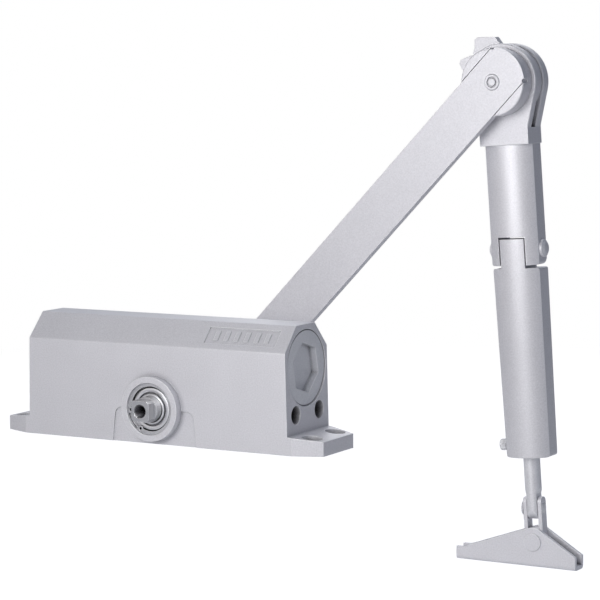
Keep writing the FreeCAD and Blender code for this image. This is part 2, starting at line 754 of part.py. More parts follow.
def makeMainArm(doc):
    """Flat bar with a square hole, cranked away from the housing, rounded about the elbow."""
    piece = Piece(doc, "main_arm")
    near = f"({SPINDLE_END} - arm_thickness + arm_gap)"
    reach = "arm_length + arm_end_radius"
    butt = "-arm_width/2"
    bend = "arm_thickness*0.45"
    side_view = [(butt, near), (f"crank_start + {bend}", near), (f"crank_end + {bend}", "arm_plane"),
                 (reach, "arm_plane"), (reach, "arm_plane + arm_thickness"),
                 (f"crank_end - {bend}", "arm_plane + arm_thickness"),
                 (f"crank_start - {bend}", f"{near} + arm_thickness"), (butt, f"{near} + arm_thickness")]
    piece.pad("Z", "-arm_width/2", "arm_width/2", side_view)
    corner = "sqrt(arm_end_radius^2 - arm_width^2/4)"
    tip = [(f"arm_length + {corner}", "-arm_width/2", "arm_end_radius"), (f"arm_length + {corner}", "arm_width/2"),
           (f"{reach} + 1", "arm_width/2"), (f"{reach} + 1", "-arm_width/2")]
    piece.cut("Y", "arm_plane - 1", "arm_plane + arm_thickness + 1", tip)
    piece.dress("Fillet", "arm_width/2*0.96", lambda edge: along(edge, "y") and edge.CenterOfMass.x < 0)
    square = levelSquare("square_size/2 + fit_gap", -1)
    piece.cut("Y", f"{near} - 1", f"{near} + arm_thickness + 1", square)
    piece.cut("Y", "arm_plane - 1", "arm_plane + arm_thickness + 1", circles=[("arm_length", "0", "rivet_radius")])
    for side in ("-", ""):
        notch = (f"arm_length + {corner}", f"{side}arm_width/2", "arm_notch")
        piece.cut("Y", "arm_plane - 1", "arm_plane + arm_thickness + 1", circles=[notch])
    placeArm(piece)
    return piece


def makeArmWasher(doc):
    piece = Piece(doc, "arm_washer")
    low = f"({SPINDLE_END} + arm_gap)"
    high = f"({low} + arm_washer)"
    piece.turn("Y", [(low, "square_thread_radius + fit_gap"), (high, "square_thread_radius + fit_gap"),
                     (high, "arm_washer_radius - 0.4"), (f"{high} - 0.4", "arm_washer_radius"), (low, "arm_washer_radius")])
    placeArm(piece)
    return piece


def makeArmScrew(doc):
    """Socket-headed screw that holds the arm on the far square."""
    piece = Piece(doc, "arm_screw")
    seat = f"({SPINDLE_END} + arm_gap + arm_washer)"
    top = f"({seat} + arm_screw_head)"
    tip = f"({SPINDLE_END} - square_thread_depth + 2)"
    piece.turn("Y", [(tip, "0"), (tip, "square_thread_radius - 0.8"), (f"{tip} + 0.8", "square_thread_radius"),
                     (seat, "square_thread_radius"), (seat, "arm_screw_radius"), (f"{top} - 0.6", "arm_screw_radius"),
                     (top, "arm_screw_radius - 0.6"), (top, "0")])
    piece.cut("Y", f"{top} - arm_screw_head*0.6", f"{top} + 1", hexagon("arm_screw_radius*0.92", "0"))
    placeArm(piece)
    return piece


def makeElbowDisc(doc):
    """Disc with a channel for the arm, a hub through the front cheek and a square tenon for the cam."""
    piece = Piece(doc, "elbow_disc")
    back = "(arm_plane + disc_depth)"
    piece.pad("Y", "arm_plane", back, circles=[("arm_length", "0", "disc_radius")])
    wide = "(arm_width/2 + channel_gap)"
    strip = [(f"arm_length - {a}*20", f"{b}*{wide}") for a, b in ((1, -1), (-1, -1), (-1, 1), (1, 1))]
    piece.cut("Y", "arm_plane - 1", "arm_plane + arm_thickness", strip)
    piece.dress("Fillet", "0.7", lambda edge: onRim(edge, value(doc, "arm_plane"), value(doc, "disc_radius")))
    piece.pad("Y", back, SLOT_FRONT, circles=[("arm_length", "0", "disc_hub")])
    square = [(f"arm_length + {a}*disc_hub*0.66", f"{b}*disc_hub*0.66") for a, b in ((-1, -1), (1, -1), (1, 1), (-1, 1))]
    piece.pad("Y", SLOT_FRONT, f"{SLOT_BACK} - side_gap", square)
    piece.cut("Y", "arm_plane", SLOT_BACK, circles=[("arm_length", "0", "rivet_radius")])
    placeArm(piece)
    return piece


def onRim(edge, level, radius):
    """True for an arc of the given radius about the y axis at a level."""
    if edge.Curve.TypeId != "Part::GeomCircle":
        return False
    return abs(edge.Curve.Radius - radius) < 1e-3 and abs(edge.CenterOfMass.y - level) < 1e-3


def makeCam(doc):
    """Round cam between the cheeks, with two lobes that stop the elbow."""
    piece = Piece(doc, "hold_open_cam")
    low = f"({SLOT_FRONT} + side_gap)"
    high = f"({SLOT_BACK} - side_gap)"
    piece.pad("Y", low, high, circles=[("0", "0", "cam_radius")])
    first = lobe([("cam_radius*0.9", 88), ("cam_radius*1.01", 97), ("cam_lobe_radius*0.86", 103.5),
                  ("cam_lobe_radius", 123.5), ("cam_lobe_radius*1.005", 128.5), ("cam_notch_radius*1.04", 135),
                  ("cam_notch_radius", 141), ("cam_radius*0.9", 143)])
    second = lobe([("cam_radius*0.9", 143), ("cam_notch_radius*1.01", 145), ("cam_lobe_radius*0.95", 152),
                   ("cam_lobe_radius", 156), ("cam_lobe_radius", 160), ("cam_lobe_radius*0.92", 165),
                   ("cam_radius*1.01", 172), ("cam_radius*0.9", 178)])
    piece.pad("Y", low, high, first)
    piece.pad("Y", low, high, second)
    piece.cut("Y", low, high, levelSquare("disc_hub*0.66 + fit_gap", 1))
    piece.place(across=ELBOW_X, up=ELBOW_Z)
    return piece


def levelSquare(half, side):
    """A square turned by the arm's angle, forwards or backwards."""
    corners = ((-1, -1), (1, -1), (1, 1), (-1, 1))
    turn = f"({side}*arm_angle)"
    return [(f"({half})*({a}*cos({turn}) - {b}*sin({turn}))", f"({half})*({a}*sin({turn}) + {b}*cos({turn}))")
            for a, b in corners]


def lobe(points):
    return [(f"{radius}*cos({angle})", f"{radius}*sin({angle})") for radius, angle in points]


def makeElbowRivet(doc):
    """Shouldered rivet with a ringed front head, from the arm through to the back washer."""
    piece = Piece(doc, "elbow_rivet")
    front = "(arm_plane - rivet_proud)"
    seat = f"({ARM_BACK} + washer_thickness + side_gap)"
    tail = f"({seat} + rivet_tail)"
    rim = "(rivet_head_radius - 0.5)"
    groove = f"({front} + rivet_ring)"
    piece.turn("Y", [(front, "0"), (front, "rivet_button - 0.2"), (groove, "rivet_button"),
                     (groove, "rivet_radius - 0.2"), (front, "rivet_radius"), (front, rim),
                     ("arm_plane", "rivet_head_radius"),
                     ("arm_plane", "rivet_radius"), (seat, "rivet_radius"), (seat, "rivet_tail_radius"),
                     (f"{tail} - 0.7", "rivet_tail_radius"), (tail, "rivet_tail_radius - 1.4"), (tail, "0")])
    piece.place(across=ELBOW_X, up=ELBOW_Z)
    return piece


def makeElbowWasher(doc):
    piece = Piece(doc, "elbow_washer")
    low = f"({ARM_BACK} + side_gap)"
    high = f"({low} + washer_thickness)"
    inner = "(rivet_radius + fit_gap)"
    piece.turn("Y", [(low, inner), (high, inner), (high, "rivet_tail_radius + 1.2"), (low, "rivet_tail_radius + 1.2")])
    piece.place(across=ELBOW_X, up=ELBOW_Z)
    return piece


# ---- forearm

def makeClevis(doc):
    """Two round cheeks on a block, with the cam's slot between them."""
    piece = Piece(doc, "elbow_clevis")
    half = "head_width/2"
    angle = tangentAngle(half, "-slot_floor", "cheek_radius", 1)
    touch = (f"cheek_radius*cos({angle})", f"cheek_radius*sin({angle})")
    left = [(f"-({across})", up) for across, up in (touch, (half, "-slot_floor"), (half, "-head_end"))]
    right = [(half, "-head_end"), (half, "-slot_floor"), touch]
    piece.pad("Y", CHEEK_FRONT, ARM_BACK, left + right)
    piece.pad("Y", CHEEK_FRONT, ARM_BACK, circles=[("0", "0", "cheek_radius")])
    slot = [(SLOT_FRONT, "-slot_floor"), (SLOT_BACK, "-slot_floor"), (SLOT_BACK, "cheek_radius + 1"),
            (SLOT_FRONT, "cheek_radius + 1")]
    piece.cut("X", "-cheek_radius - 1", "cheek_radius + 1", slot)
    radius = value(doc, "cheek_radius")
    piece.dress("Chamfer", "rim_chamfer", lambda edge: onRim(edge, edge.CenterOfMass.y, radius))
    piece.cut("Y", f"{CHEEK_FRONT} - 1", f"{SLOT_FRONT} + 1", circles=[("0", "0", "disc_hub + running_gap")])
    piece.cut("Y", SLOT_BACK, f"{ARM_BACK} + 1", circles=[("0", "0", "rivet_radius + running_gap")])
    bore = [("0", SLOT_MIDDLE, "plunger_nose + running_gap")]
    piece.cut("Z", "-head_end - 1", "-slot_floor + 1", circles=bore)
    placeForearm(piece)
    return piece


def crownRadius(half):
    return f"((({half})^2 + tube_crown^2)/(2*tube_crown))"


def archOutline(half, flat):
    """Tube section: flat back and sides with a crowned front."""
    edge = f"({ARM_BACK} - ({flat}))"
    crown = crownRadius(half)
    return [(f"-({half})", edge, crown), (half, edge), (half, ARM_BACK), (f"-({half})", ARM_BACK)]


def makeSleeve(doc):
    """Upper tube of the forearm, forked at its lower end."""
    piece = Piece(doc, "upper_sleeve")
    piece.pad("Z", "-ear_end", "-head_end", archOutline("tube_half_width", "tube_flat"))
    ear = value(doc, "ear_end")
    piece.dress("Fillet", "ear_round", lambda edge: along(edge, "x") and abs(edge.CenterOfMass.z + ear) < 1e-3)
    piece.dress("Fillet", "shoulder_round", lambda edge: along(edge, "y") and abs(edge.CenterOfMass.z + ear) < 1e-3)
    wide = "(tongue_width/2 + tongue_gap)"
    slot = [(f"-{wide}", "arm_plane"), (wide, "arm_plane"), (wide, f"{ARM_BACK} + 1"), (f"-{wide}", f"{ARM_BACK} + 1")]
    piece.cut("Z", "-ear_end - 1", "-ear_slot", slot)
    piece.cut("X", "-tube_half_width - 1", "tube_half_width + 1", circles=[(CORE, "-fold_distance", "fold_pin_radius")])
    piece.cut("Z", "-spring_chamber_end", "-head_end", circles=[("0", SLOT_MIDDLE, "spring_chamber")])
    placeForearm(piece)
    return piece


def makePlunger(doc):
    """Sprung plunger with a domed nose that presses on the cam."""
    piece = Piece(doc, "hold_open_plunger")
    nose = "-(cam_radius + side_gap)"
    foot = f"({nose} - plunger_length)"
    piece.turn("Z", [(foot, "0"), (foot, "plunger_radius"), ("-plunger_step", "plunger_radius"),
                     ("-plunger_step", "plunger_nose"), (f"{nose} - 0.6", "plunger_nose"),
                     (nose, "plunger_nose - 0.8"), (nose, "0")])
    piece.place(across=f"{ELBOW_X}", depth=SLOT_MIDDLE, up=ELBOW_Z, turn="-forearm_lean")
    return piece


def makeFoldPin(doc):
    return makeRivet(doc, "fold_pin", "tube_half_width", "tube_half_width", "fold_pin_radius",
                     ("pin_head_radius", "pin_head"), ("pin_head_radius", "pin_head"), "fold_distance")


def makeLinkPin(doc):
    half = "(tang_thickness/2 + fork_gap + fork_cheek)"
    return makeRivet(doc, "link_pin", half, half, "link_pin_radius",
                     ("link_pin_radius + 1.6", "1.5"), ("link_pin_radius + 0.4", "0.5"), "link_pin_distance")


def makeRivet(doc, label, left, right, radius, left_head, right_head, distance):
    """Cross rivet along x with a domed head at each end."""
    piece = Piece(doc, label)
    profile = [(f"-({left})", radius)]
    profile += domed("-", left, *left_head)
    profile += [(far, up) for far, up in reversed(domed("", right, *right_head))]
    profile += [(f"{right}", radius)]
    piece.turn("X", profile)
    depth = CORE
    piece.place(across=f"{ELBOW_X} + ({distance})*sin(forearm_lean)", depth=depth,
                up=f"{ELBOW_Z} - ({distance})*cos(forearm_lean)", turn="-forearm_lean")
    return piece


def domed(sign, seat, radius, height):
    """Half profile of a domed rivet head, from its rim to the axis."""
    return [(f"{sign}({seat})", f"{radius}"), (f"{sign}({seat} + 0.45*({height}))", f"({radius})*0.95"),
            (f"{sign}({seat} + 0.85*({height}))", f"({radius})*0.6"), (f"{sign}({seat} + {height})", "0")]


def makeLowerTube(doc):
    """Tapered lower tube with a tongue that swings in the sleeve's fork."""
    piece = Piece(doc, "lower_tube")
    upper = piece.drawn("Z", "-shoulder", archOutline("tube_half_width - 0.2", "tube_flat - 0.3"), ())
    lower = piece.drawn("Z", "-tube_end", archOutline("tube_end_half_width", "tube_end_flat"), ())
    loft = piece.add("PartDesign::AdditiveLoft", "loft")
    loft.Profile = upper
    loft.Sections = [lower]
    loft.Ruled = True
    doc.recompute()
    ends = [value(doc, "shoulder"), value(doc, "tube_end")]
    piece.dress("Fillet", "shoulder_round",
                lambda edge: along(edge, "y") and min(abs(edge.CenterOfMass.z + end) for end in ends) < 1e-3)
    half = "tongue_width/2"
    crown = crownRadius("(tube_half_width - 0.2)")
    front = f"({ARM_BACK} - (tube_flat - 0.3) - tube_crown + {crown} - sqrt({crown}^2 - ({half})^2))"
    tongue = [(f"-{half}", front, crown), (half, front), (half, ARM_BACK), (f"-{half}", ARM_BACK)]
    piece.pad("Z", "-shoulder - 2", "-tongue_end", tongue)
    top = value(doc, "tongue_end")
    back = value(doc, ARM_BACK)
    piece.dress("Fillet", "ear_round + 1", lambda edge: along(edge, "x") and abs(edge.CenterOfMass.z + top) < 1e-3
                and abs(edge.CenterOfMass.y - back) < 1e-3)
    pin = [(CORE, "-fold_distance", "fold_pin_radius + running_gap")]
    piece.cut("X", "-tongue_width/2 - 1", "tongue_width/2 + 1", circles=pin)
    bore = [("0", CORE, "rod_radius + fit_gap")]
    piece.cut("Z", "-tube_end - 1", "-rod_top + rod_spare", circles=bore)
    screw = [(CORE, "-clamp_distance", "clamp_radius + running_gap")]
    piece.cut("X", "-tube_half_width - 1", "0", circles=screw)
    placeForearm(piece)
    return piece


def makeClampScrew(doc):
    """Thumb screw in the side of the lower tube, with a ribbed head; its tip bears on the rod."""
    piece = Piece(doc, "clamp_screw")
    tip = "-(rod_radius + running_gap)"
    seat = "-(tube_end_half_width + clamp_stand)"
    head = f"({seat} - clamp_head)"
    piece.turn("X", [(tip, "0"), (tip, "clamp_radius*0.7"), (f"{tip} - 0.6", "clamp_radius"), (seat, "clamp_radius"),
                     (seat, "clamp_head_radius"), (f"{head} + 0.5", "clamp_head_radius"),
                     (head, "clamp_head_radius - 0.5"), (head, "0")])
    rib = piece.cut("X", f"{head} - 1", f"{seat} - 0.8", circles=[("clamp_head_radius + 0.25", "0", "0.5")])
    piece.polar(rib, "X", "clamp_ribs")
    place = "clamp_distance"
    piece.place(across=f"{ELBOW_X} + {place}*sin(forearm_lean)", depth=CORE,
                up=f"{ELBOW_Z} - {place}*cos(forearm_lean)", turn="-forearm_lean")
    return piece


def makeRod(doc):
    """Round adjusting rod with a flattened, rounded tang at its lower end."""
    piece = Piece(doc, "adjusting_rod")
    bottom = "(link_pin_distance + tang_end_radius)"
    piece.turn("Z", [("-rod_top", "0"), ("-rod_top", "rod_radius - 0.6"), ("-rod_top - 0.6", "rod_radius"),
                     (f"-{bottom}", "rod_radius"), (f"-{bottom}", "0")])
    flat = "tang_thickness/2"
    wide = "rod_radius + 1"
    for side in (-1, 1):
        relief = [(f"{side}*{flat}", f"-{bottom} - 1"), (f"{side}*{flat}", "-tang_start"),
                  (f"{side}*rod_radius", "-rod_neck"), (f"{side}*({wide})", "-rod_neck"),
                  (f"{side}*({wide})", f"-{bottom} - 1")]
        piece.cut("Y", "-rod_radius - 1", "rod_radius + 1", relief)
    end = [("-rod_radius*0.999", "-link_pin_distance", "tang_end_radius*1.001"), ("0", f"-{bottom}", "tang_end_radius*1.001"),
           ("rod_radius*0.999", "-link_pin_distance"), ("rod_radius + 1", "-link_pin_distance"),
           ("rod_radius + 1", f"-{bottom} - 1"), ("-rod_radius - 1", f"-{bottom} - 1"),
           ("-rod_radius - 1", "-link_pin_distance")]
    piece.cut("X", "-rod_radius - 1", "rod_radius + 1", end)
    hole = [("0", "-link_pin_distance", "link_pin_radius + running_gap")]
    piece.cut("X", "-rod_radius - 1", "rod_radius + 1", circles=hole)
    piece.place(across=ELBOW_X, depth=CORE, up=ELBOW_Z, turn="-forearm_lean")
    return piece


# ---- link fork and shoe

def makeFork(doc):
    """Fork with two cheeks round the tang and a foot round the shoe's pin."""
    piece = Piece(doc, "link_fork")
    half = "(tang_thickness/2 + fork_gap + fork_cheek)"
    top = "(link_pin_distance - fork_top_radius)"
    front = f"({CORE} - fork_depth/2)"
    back = f"({CORE} + fork_depth/2)"
    block = [(f"-{half}", "-shoe_distance"), (half, "-shoe_distance"), (half, f"-{top}"), (f"-{half}", f"-{top}")]
    piece.pad("Y", front, back, block)
    level = value(doc, f"-{top}")
    piece.dress("Fillet", "fork_depth*0.46", lambda edge: along(edge, "x") and abs(edge.CenterOfMass.z - level) < 1e-3)
    piece.pad("Y", front, back, circles=[("0", "-shoe_distance", half)])
    inner = "(tang_thickness/2 + fork_gap)"
    slot = [(f"-{inner}", "-fork_block_top"), (inner, "-fork_block_top"), (inner, f"-{top} + 1"), (f"-{inner}", f"-{top} + 1")]
    piece.cut("Y", f"{front} - 1", f"{back} + 1", slot)
    piece.cut("X", f"-{half} - 1", f"{half} + 1", circles=[(CORE, "-link_pin_distance", "link_pin_radius")])
    piece.cut("Y", f"{front} - 1", f"{back} + 1", circles=[("0", "-shoe_distance", "shoe_pin_radius + running_gap")])
    placeForearm(piece)
    return piece


SHOE_FRONT = f"({CORE} - fork_depth/2 - shoe_gap - shoe_wall)"
SHOE_BACK = f"({CORE} + fork_depth/2 + shoe_gap + shoe_wall)"


def placeShoe(piece):
    piece.place(across=f"{ELBOW_X} + shoe_distance*sin(forearm_lean)",
                up=f"{ELBOW_Z} - shoe_distance*cos(forearm_lean)")


def makeShoe(doc):
    """Folded channel with triangular walls, rounded about its pin."""
    piece = Piece(doc, "shoe")
    base = "-shoe_base"
    shoulder = "(shoe_end_height - shoe_base)"
    step = "(shoe_left - shoe_step)"
    right = tangentAngle("shoe_right", shoulder, "shoe_apex_radius", 1)
    left = f"(180 deg + atan2(-({shoulder}); {step}) - acos(shoe_apex_radius/sqrt({step}^2 + {shoulder}^2)))"
    apex = [(f"shoe_apex_radius*cos({turn})", f"shoe_apex_radius*sin({turn})") for turn in (right, left)]
    wall = [("-shoe_left", base), ("shoe_right", base), ("shoe_right", shoulder), apex[0] + ("shoe_apex_radius",),
            apex[1], (f"-{step}", shoulder), ("-shoe_left", shoulder)]
    piece.pad("Y", SHOE_FRONT, SHOE_BACK, wall)
    bottom = value(doc, base)
    piece.dress("Fillet", "shoe_wall*0.9", lambda edge: along(edge, "x") and abs(edge.CenterOfMass.z - bottom) < 1e-3)
    inner = [(f"{SHOE_FRONT} + shoe_wall", f"{base} + shoe_floor"), (f"{SHOE_BACK} - shoe_wall", f"{base} + shoe_floor"),
             (f"{SHOE_BACK} - shoe_wall", "shoe_apex_radius + 1"), (f"{SHOE_FRONT} + shoe_wall", "shoe_apex_radius + 1")]
    piece.cut("X", "-shoe_left - 1", "shoe_right + 1", inner)
    piece.cut("Y", f"{SHOE_FRONT} - 1", f"{SHOE_BACK} + 1", circles=[("0", "0", "shoe_pin_radius")])
    holes = [("-shoe_hole_left", CORE, "shoe_hole_radius"), ("shoe_hole_right", CORE, "shoe_hole_radius")]
    piece.cut("Z", f"{base} - 1", f"{base} + shoe_floor + 1", circles=holes)
    placeShoe(piece)
    return piece


def makeShoePin(doc):
    piece = Piece(doc, "shoe_pin")
    front = f"({SHOE_FRONT} - shoe_pin_head)"
    back = f"({SHOE_BACK} + shoe_pin_head)"
    head = "pin_head_radius"
    piece.turn("Y", [(front, "0"), (front, f"{head} - 0.25"), (f"{front} + 0.2", head), (SHOE_FRONT, head),
                     (SHOE_FRONT, "shoe_pin_radius"), (SHOE_BACK, "shoe_pin_radius"), (SHOE_BACK, head),
                     (f"{back} - 0.2", head), (back, f"{head} - 0.25"), (back, "0")])
    placeShoe(piece)
    return piece


def makeSprings(doc):
    """The closing spring in the cylinder and the hold-open spring in the sleeve."""
    radius = "(cylinder_radius - closing_coil_gap - closing_wire)"
    closing = makeCoil(doc, "closing_spring", "X", f"-({PLUG_FACE} - plug_length - 0.05)",
                       "-(rack_left + piston_tail + 0.05)", radius, "closing_wire", "closing_turns",
                       {"up": "cylinder_height"})
    foot = "(cam_radius + side_gap + plunger_length + 0.05)"
    place = {"across": ELBOW_X, "depth": SLOT_MIDDLE, "up": ELBOW_Z, "turn": "-forearm_lean"}
    detent = makeCoil(doc, "hold_open_spring", "Z", "-(spring_chamber_end - 0.05)", f"-{foot}", "hold_coil_radius",
                      "hold_wire", "hold_turns", place)
    return [closing, detent]


def makePieces(doc):
    pieces = [makeHousing(doc), makePlug(doc, "end_plug_right", 1), makePlug(doc, "end_plug_left", -1)]
    for name, side in (("right", 1), ("left", -1)):
        seal_place = f"{side}*({PLUG_FACE} - (plug_length - 3*seal_wire) - seal_wire/2)"
        pieces.append(makeSeal(doc, f"plug_seal_{name}", "X", "plug_radius - seal_wire/2", "seal_wire/2",
                               across=seal_place, up="cylinder_height"))
    for name, side in (("front", -1), ("back", 1)):
        pieces.append(makeBearing(doc, f"spindle_bearing_{name}", side))
        pieces.append(makeCollar(doc, f"seal_collar_{name}", side))
        pieces.append(makeCirclip(doc, f"circlip_{name}", side))
    pieces += [makeSpindle(doc), makePiston(doc), makeCheckBall(doc), makeCheckRing(doc)]
    for name, side in (("closing", -1), ("latching", 1)):
        pieces.append(makeValveScrew(doc, f"{name}_valve_screw", side))
        groove = "(housing_length/2 - valve_mouth_depth - valve_head_gap - 4*valve_seal)"
        pieces.append(makeSeal(doc, f"{name}_valve_seal", "X", "valve_bore - running_gap - valve_seal", "valve_seal",
                               across=groove, depth=f"{side}*valve_pitch/2", up="valve_height"))
    pieces += [makeMainArm(doc), makeArmWasher(doc), makeArmScrew(doc), makeElbowDisc(doc), makeCam(doc)]
    pieces += [makeElbowRivet(doc), makeElbowWasher(doc), makeClevis(doc), makeSleeve(doc), makePlunger(doc)]
    pieces += [makeFoldPin(doc), makeLowerTube(doc), makeClampScrew(doc), makeRod(doc), makeFork(doc)]
    pieces += [makeLinkPin(doc), makeShoe(doc), makeShoePin(doc)]
    pieces += makeSprings(doc)
    return [piece.body if isinstance(piece, Piece) else piece for piece in pieces]


def check(doc, bodies):
    """Stops if a feature failed, a cut removed nothing or a shape is not sound."""
    for item in doc.Objects:
        if "Invalid" in item.State or "Error" in item.State:
            raise RuntimeError(f"{item.Name} failed: {item.State}")
        if item.TypeId in ("PartDesign::Pocket", "PartDesign::Groove"):
            before = item.BaseFeature.Shape.Volume
            if item.Shape.Volume > before - 1e-4:
                raise RuntimeError(f"{item.Name} cuts nothing")
    for body in bodies:
        if body.Shape.isNull() or not body.Shape.isValid():
            raise RuntimeError(f"{body.Label} has no valid shape")
        if len(body.Shape.Solids) != 1:
            raise RuntimeError(f"{body.Label} has {len(body.Shape.Solids)} solids")


def main():
    doc = FreeCAD.newDocument("door_closer")
    makeSheet(doc)
    bodies = makePieces(doc)
    doc.recompute()
    check(doc, bodies)
    os.makedirs("parts", exist_ok=True)
    for body in bodies:
        body.Shape.exportStep(f"parts/{body.Label}.step")
        print(f"{body.Label}: {body.Shape.Volume:.1f} mm3")


main()
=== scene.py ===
import json
import math
import bpy
import numpy as np
from mathutils import Matrix, Vector


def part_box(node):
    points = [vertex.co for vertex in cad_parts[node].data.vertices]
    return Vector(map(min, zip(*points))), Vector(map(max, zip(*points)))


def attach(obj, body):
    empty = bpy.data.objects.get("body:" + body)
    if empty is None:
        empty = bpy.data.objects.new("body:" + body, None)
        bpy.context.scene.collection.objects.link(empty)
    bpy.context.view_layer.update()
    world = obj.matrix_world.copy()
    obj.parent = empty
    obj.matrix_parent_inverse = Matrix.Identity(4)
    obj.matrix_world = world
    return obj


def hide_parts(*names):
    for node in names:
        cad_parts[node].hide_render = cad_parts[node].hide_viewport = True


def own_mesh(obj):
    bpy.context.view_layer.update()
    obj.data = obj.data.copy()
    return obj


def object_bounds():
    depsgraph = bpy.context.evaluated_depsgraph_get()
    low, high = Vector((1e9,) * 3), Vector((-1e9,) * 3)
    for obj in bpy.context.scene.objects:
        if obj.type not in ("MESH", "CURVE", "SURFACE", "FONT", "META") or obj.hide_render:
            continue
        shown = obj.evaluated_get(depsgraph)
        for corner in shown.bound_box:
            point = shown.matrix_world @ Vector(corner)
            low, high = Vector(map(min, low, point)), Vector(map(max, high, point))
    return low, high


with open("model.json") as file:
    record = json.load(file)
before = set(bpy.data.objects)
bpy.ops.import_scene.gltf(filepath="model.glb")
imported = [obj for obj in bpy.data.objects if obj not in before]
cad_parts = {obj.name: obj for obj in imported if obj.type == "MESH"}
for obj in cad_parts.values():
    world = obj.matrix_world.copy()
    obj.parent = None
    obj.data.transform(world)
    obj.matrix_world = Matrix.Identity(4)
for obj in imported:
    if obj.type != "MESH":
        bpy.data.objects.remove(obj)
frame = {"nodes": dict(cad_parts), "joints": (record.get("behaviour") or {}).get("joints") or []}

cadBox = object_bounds()
nodes = frame["nodes"]
scene = bpy.context.scene


# shader maths: a Signal is one socket, and sums on it add Math nodes

class Signal:
    def __init__(self, tree, socket):
        self.tree = tree
        self.socket = socket

    def combine(self, operation, first, second=0.0):
        node = self.tree.nodes.new("ShaderNodeMath")
        node.operation = operation
        for place, value in enumerate((first, second)):
            feed(self.tree, node.inputs[place], value)
        return Signal(self.tree, node.outputs[0])

    def __add__(self, other):
        return self.combine("ADD", self, other)

    __radd__ = __add__

    def __sub__(self, other):
        return self.combine("SUBTRACT", self, other)

    def __rsub__(self, other):
        return self.combine("SUBTRACT", other, self)

    def __mul__(self, other):
        return self.combine("MULTIPLY", self, other)

    __rmul__ = __mul__

    def __abs__(self):
        return self.combine("ABSOLUTE", self)

    def atLeast(self, other):
        return self.combine("MAXIMUM", self, other)

    def kept(self, low=0.0, high=1.0):  # held between two limits
        return self.combine("MINIMUM", self.atLeast(low), high)


def feed(tree, socket, value):
    if isinstance(value, Signal):
        tree.links.new(value.socket, socket)
    else:
        socket.default_value = value


class Finish:
    def __init__(self, owner):
        # the owner is a material or the world, and its nodes are made anew
        owner.use_nodes = True
        self.owner = owner
        self.tree = owner.node_tree
        self.tree.nodes.clear()

    def add(self, kind, settings=None, values=None, output=0):
        node = self.tree.nodes.new("ShaderNode" + kind)
        for name, setting in (settings or {}).items():
            setattr(node, name, setting)
        for name, value in (values or {}).items():
            feed(self.tree, node.inputs[name], value)
        return Signal(self.tree, node.outputs[output]) if len(node.outputs) else None

    def blendTones(self, share, first, second):
        return self.add("Mix", {"data_type": "RGBA"}, {0: share, 6: first, 7: second}, 2)

    def place(self, scale=(1, 1, 1), turn=(0, 0, 0), centre=(0, 0, 0)):
        # object coordinates counted from a centre, turned, then stretched by scale
        here = self.add("TexCoord", output=3)
        here = self.add("VectorMath", {"operation": "SUBTRACT"}, {0: here, 1: centre})
        here = self.add("VectorRotate", {"rotation_type": "EULER_XYZ"}, {"Vector": here, "Rotation": turn})
        return self.add("VectorMath", {"operation": "MULTIPLY"}, {0: here, 1: scale})

    def noise(self, place, scale, detail=3.0, rough=0.55):
        return self.add("TexNoise", values={
            "Vector": place, "Scale": scale, "Detail": detail, "Roughness": rough})

    def dot(self, first, second):
        return self.add("VectorMath", {"operation": "DOT_PRODUCT"}, {0: first, 1: second}, 1)

    def length(self, place):
        return self.add("VectorMath", {"operation": "LENGTH"}, {0: place}, 1)

    def openness(self, reach, samples, alone):
        # share of the sky that is free of faces within reach
        return self.add("AmbientOcclusion", {"samples": samples, "only_local": alone}, {"Distance": reach}, 1)


def newFinish(name):
    return Finish(bpy.data.materials.new(name))


def tone(red, green, blue):
    return (red, green, blue, 1.0)


# every metal finish is one recipe with its own numbers; lengths are in metres
plainLook = {
    "tone": tone(0.64, 0.635, 0.665),   # body colour
    "worn": tone(0.90, 0.90, 0.92),     # colour where an edge has rubbed, also a painted highlight along edges
    "dirt": tone(0.16, 0.16, 0.19),     # colour of dirt and painted shade in corners
    "dark": tone(0.012, 0.010, 0.012),  # colour of the painted shade deep in holes and gaps, and of the dark seam line
    "metal": 0.30,
    "rough": 0.48,
    "roughDrift": 0.10,                 # how far the broad drift changes the roughness
    "roughGrain": 0.08,                 # how far the fine grain does
    "roughWorn": 0.08,                  # how much smoother a rubbed edge is
    "roughDirt": 0.2,                   # how much rougher a corner is
    "roughLimits": (0.08, 0.95),
    "cloud": 0.05,                      # depth of the broad colour drift
    "cloudScale": 45.0,
    "speck": 0.16,                      # depth of the flake sparkle
    "speckScale": 1500.0,
    "grain": 0.000012,                  # height of the surface grain
    "grainScale": 1500.0,
    "stretch": (1, 1, 1),               # brushes the grain out along an axis
    "turn": (0, 0, 0),
    "ripple": 0.0,                      # height of cast waviness
    "rippleScale": 160.0,
    "rings": 0.0,                       # height of lathe marks
    "ringPitch": 0.00035,
    "ringCentre": (0, 0, 0),
    "ringAxis": "Y",
    "edgeRound": 0.0005,                # softened edge
    "edgeSamples": 6,
    "edgeGain": 16.0,                   # how soon a softened edge counts as rubbed and gets the painted highlight
    # share of the worn colour on edges, which is partly a painted highlight
    "wear": 0.8,
    "corner": 0.0016,                   # reach of the shade in corners
    "cornerShade": 0.8,
    "cornerSamples": 6,
    "hollow": 0.0100,                   # reach of the painted shade in holes and gaps
    "hollowEdge": 0.44,                 # openness at which the painted shade begins
    "hollowShade": 4.5,
    "hollowSamples": 8,
    "alone": True,                      # whether only the piece itself casts the painted shade in its hollows
    "seam": None,                       # (radius, width) of a dark line round an axis
    "seamAxis": "X",
    "seamCentre": (0, 0, 0),
}


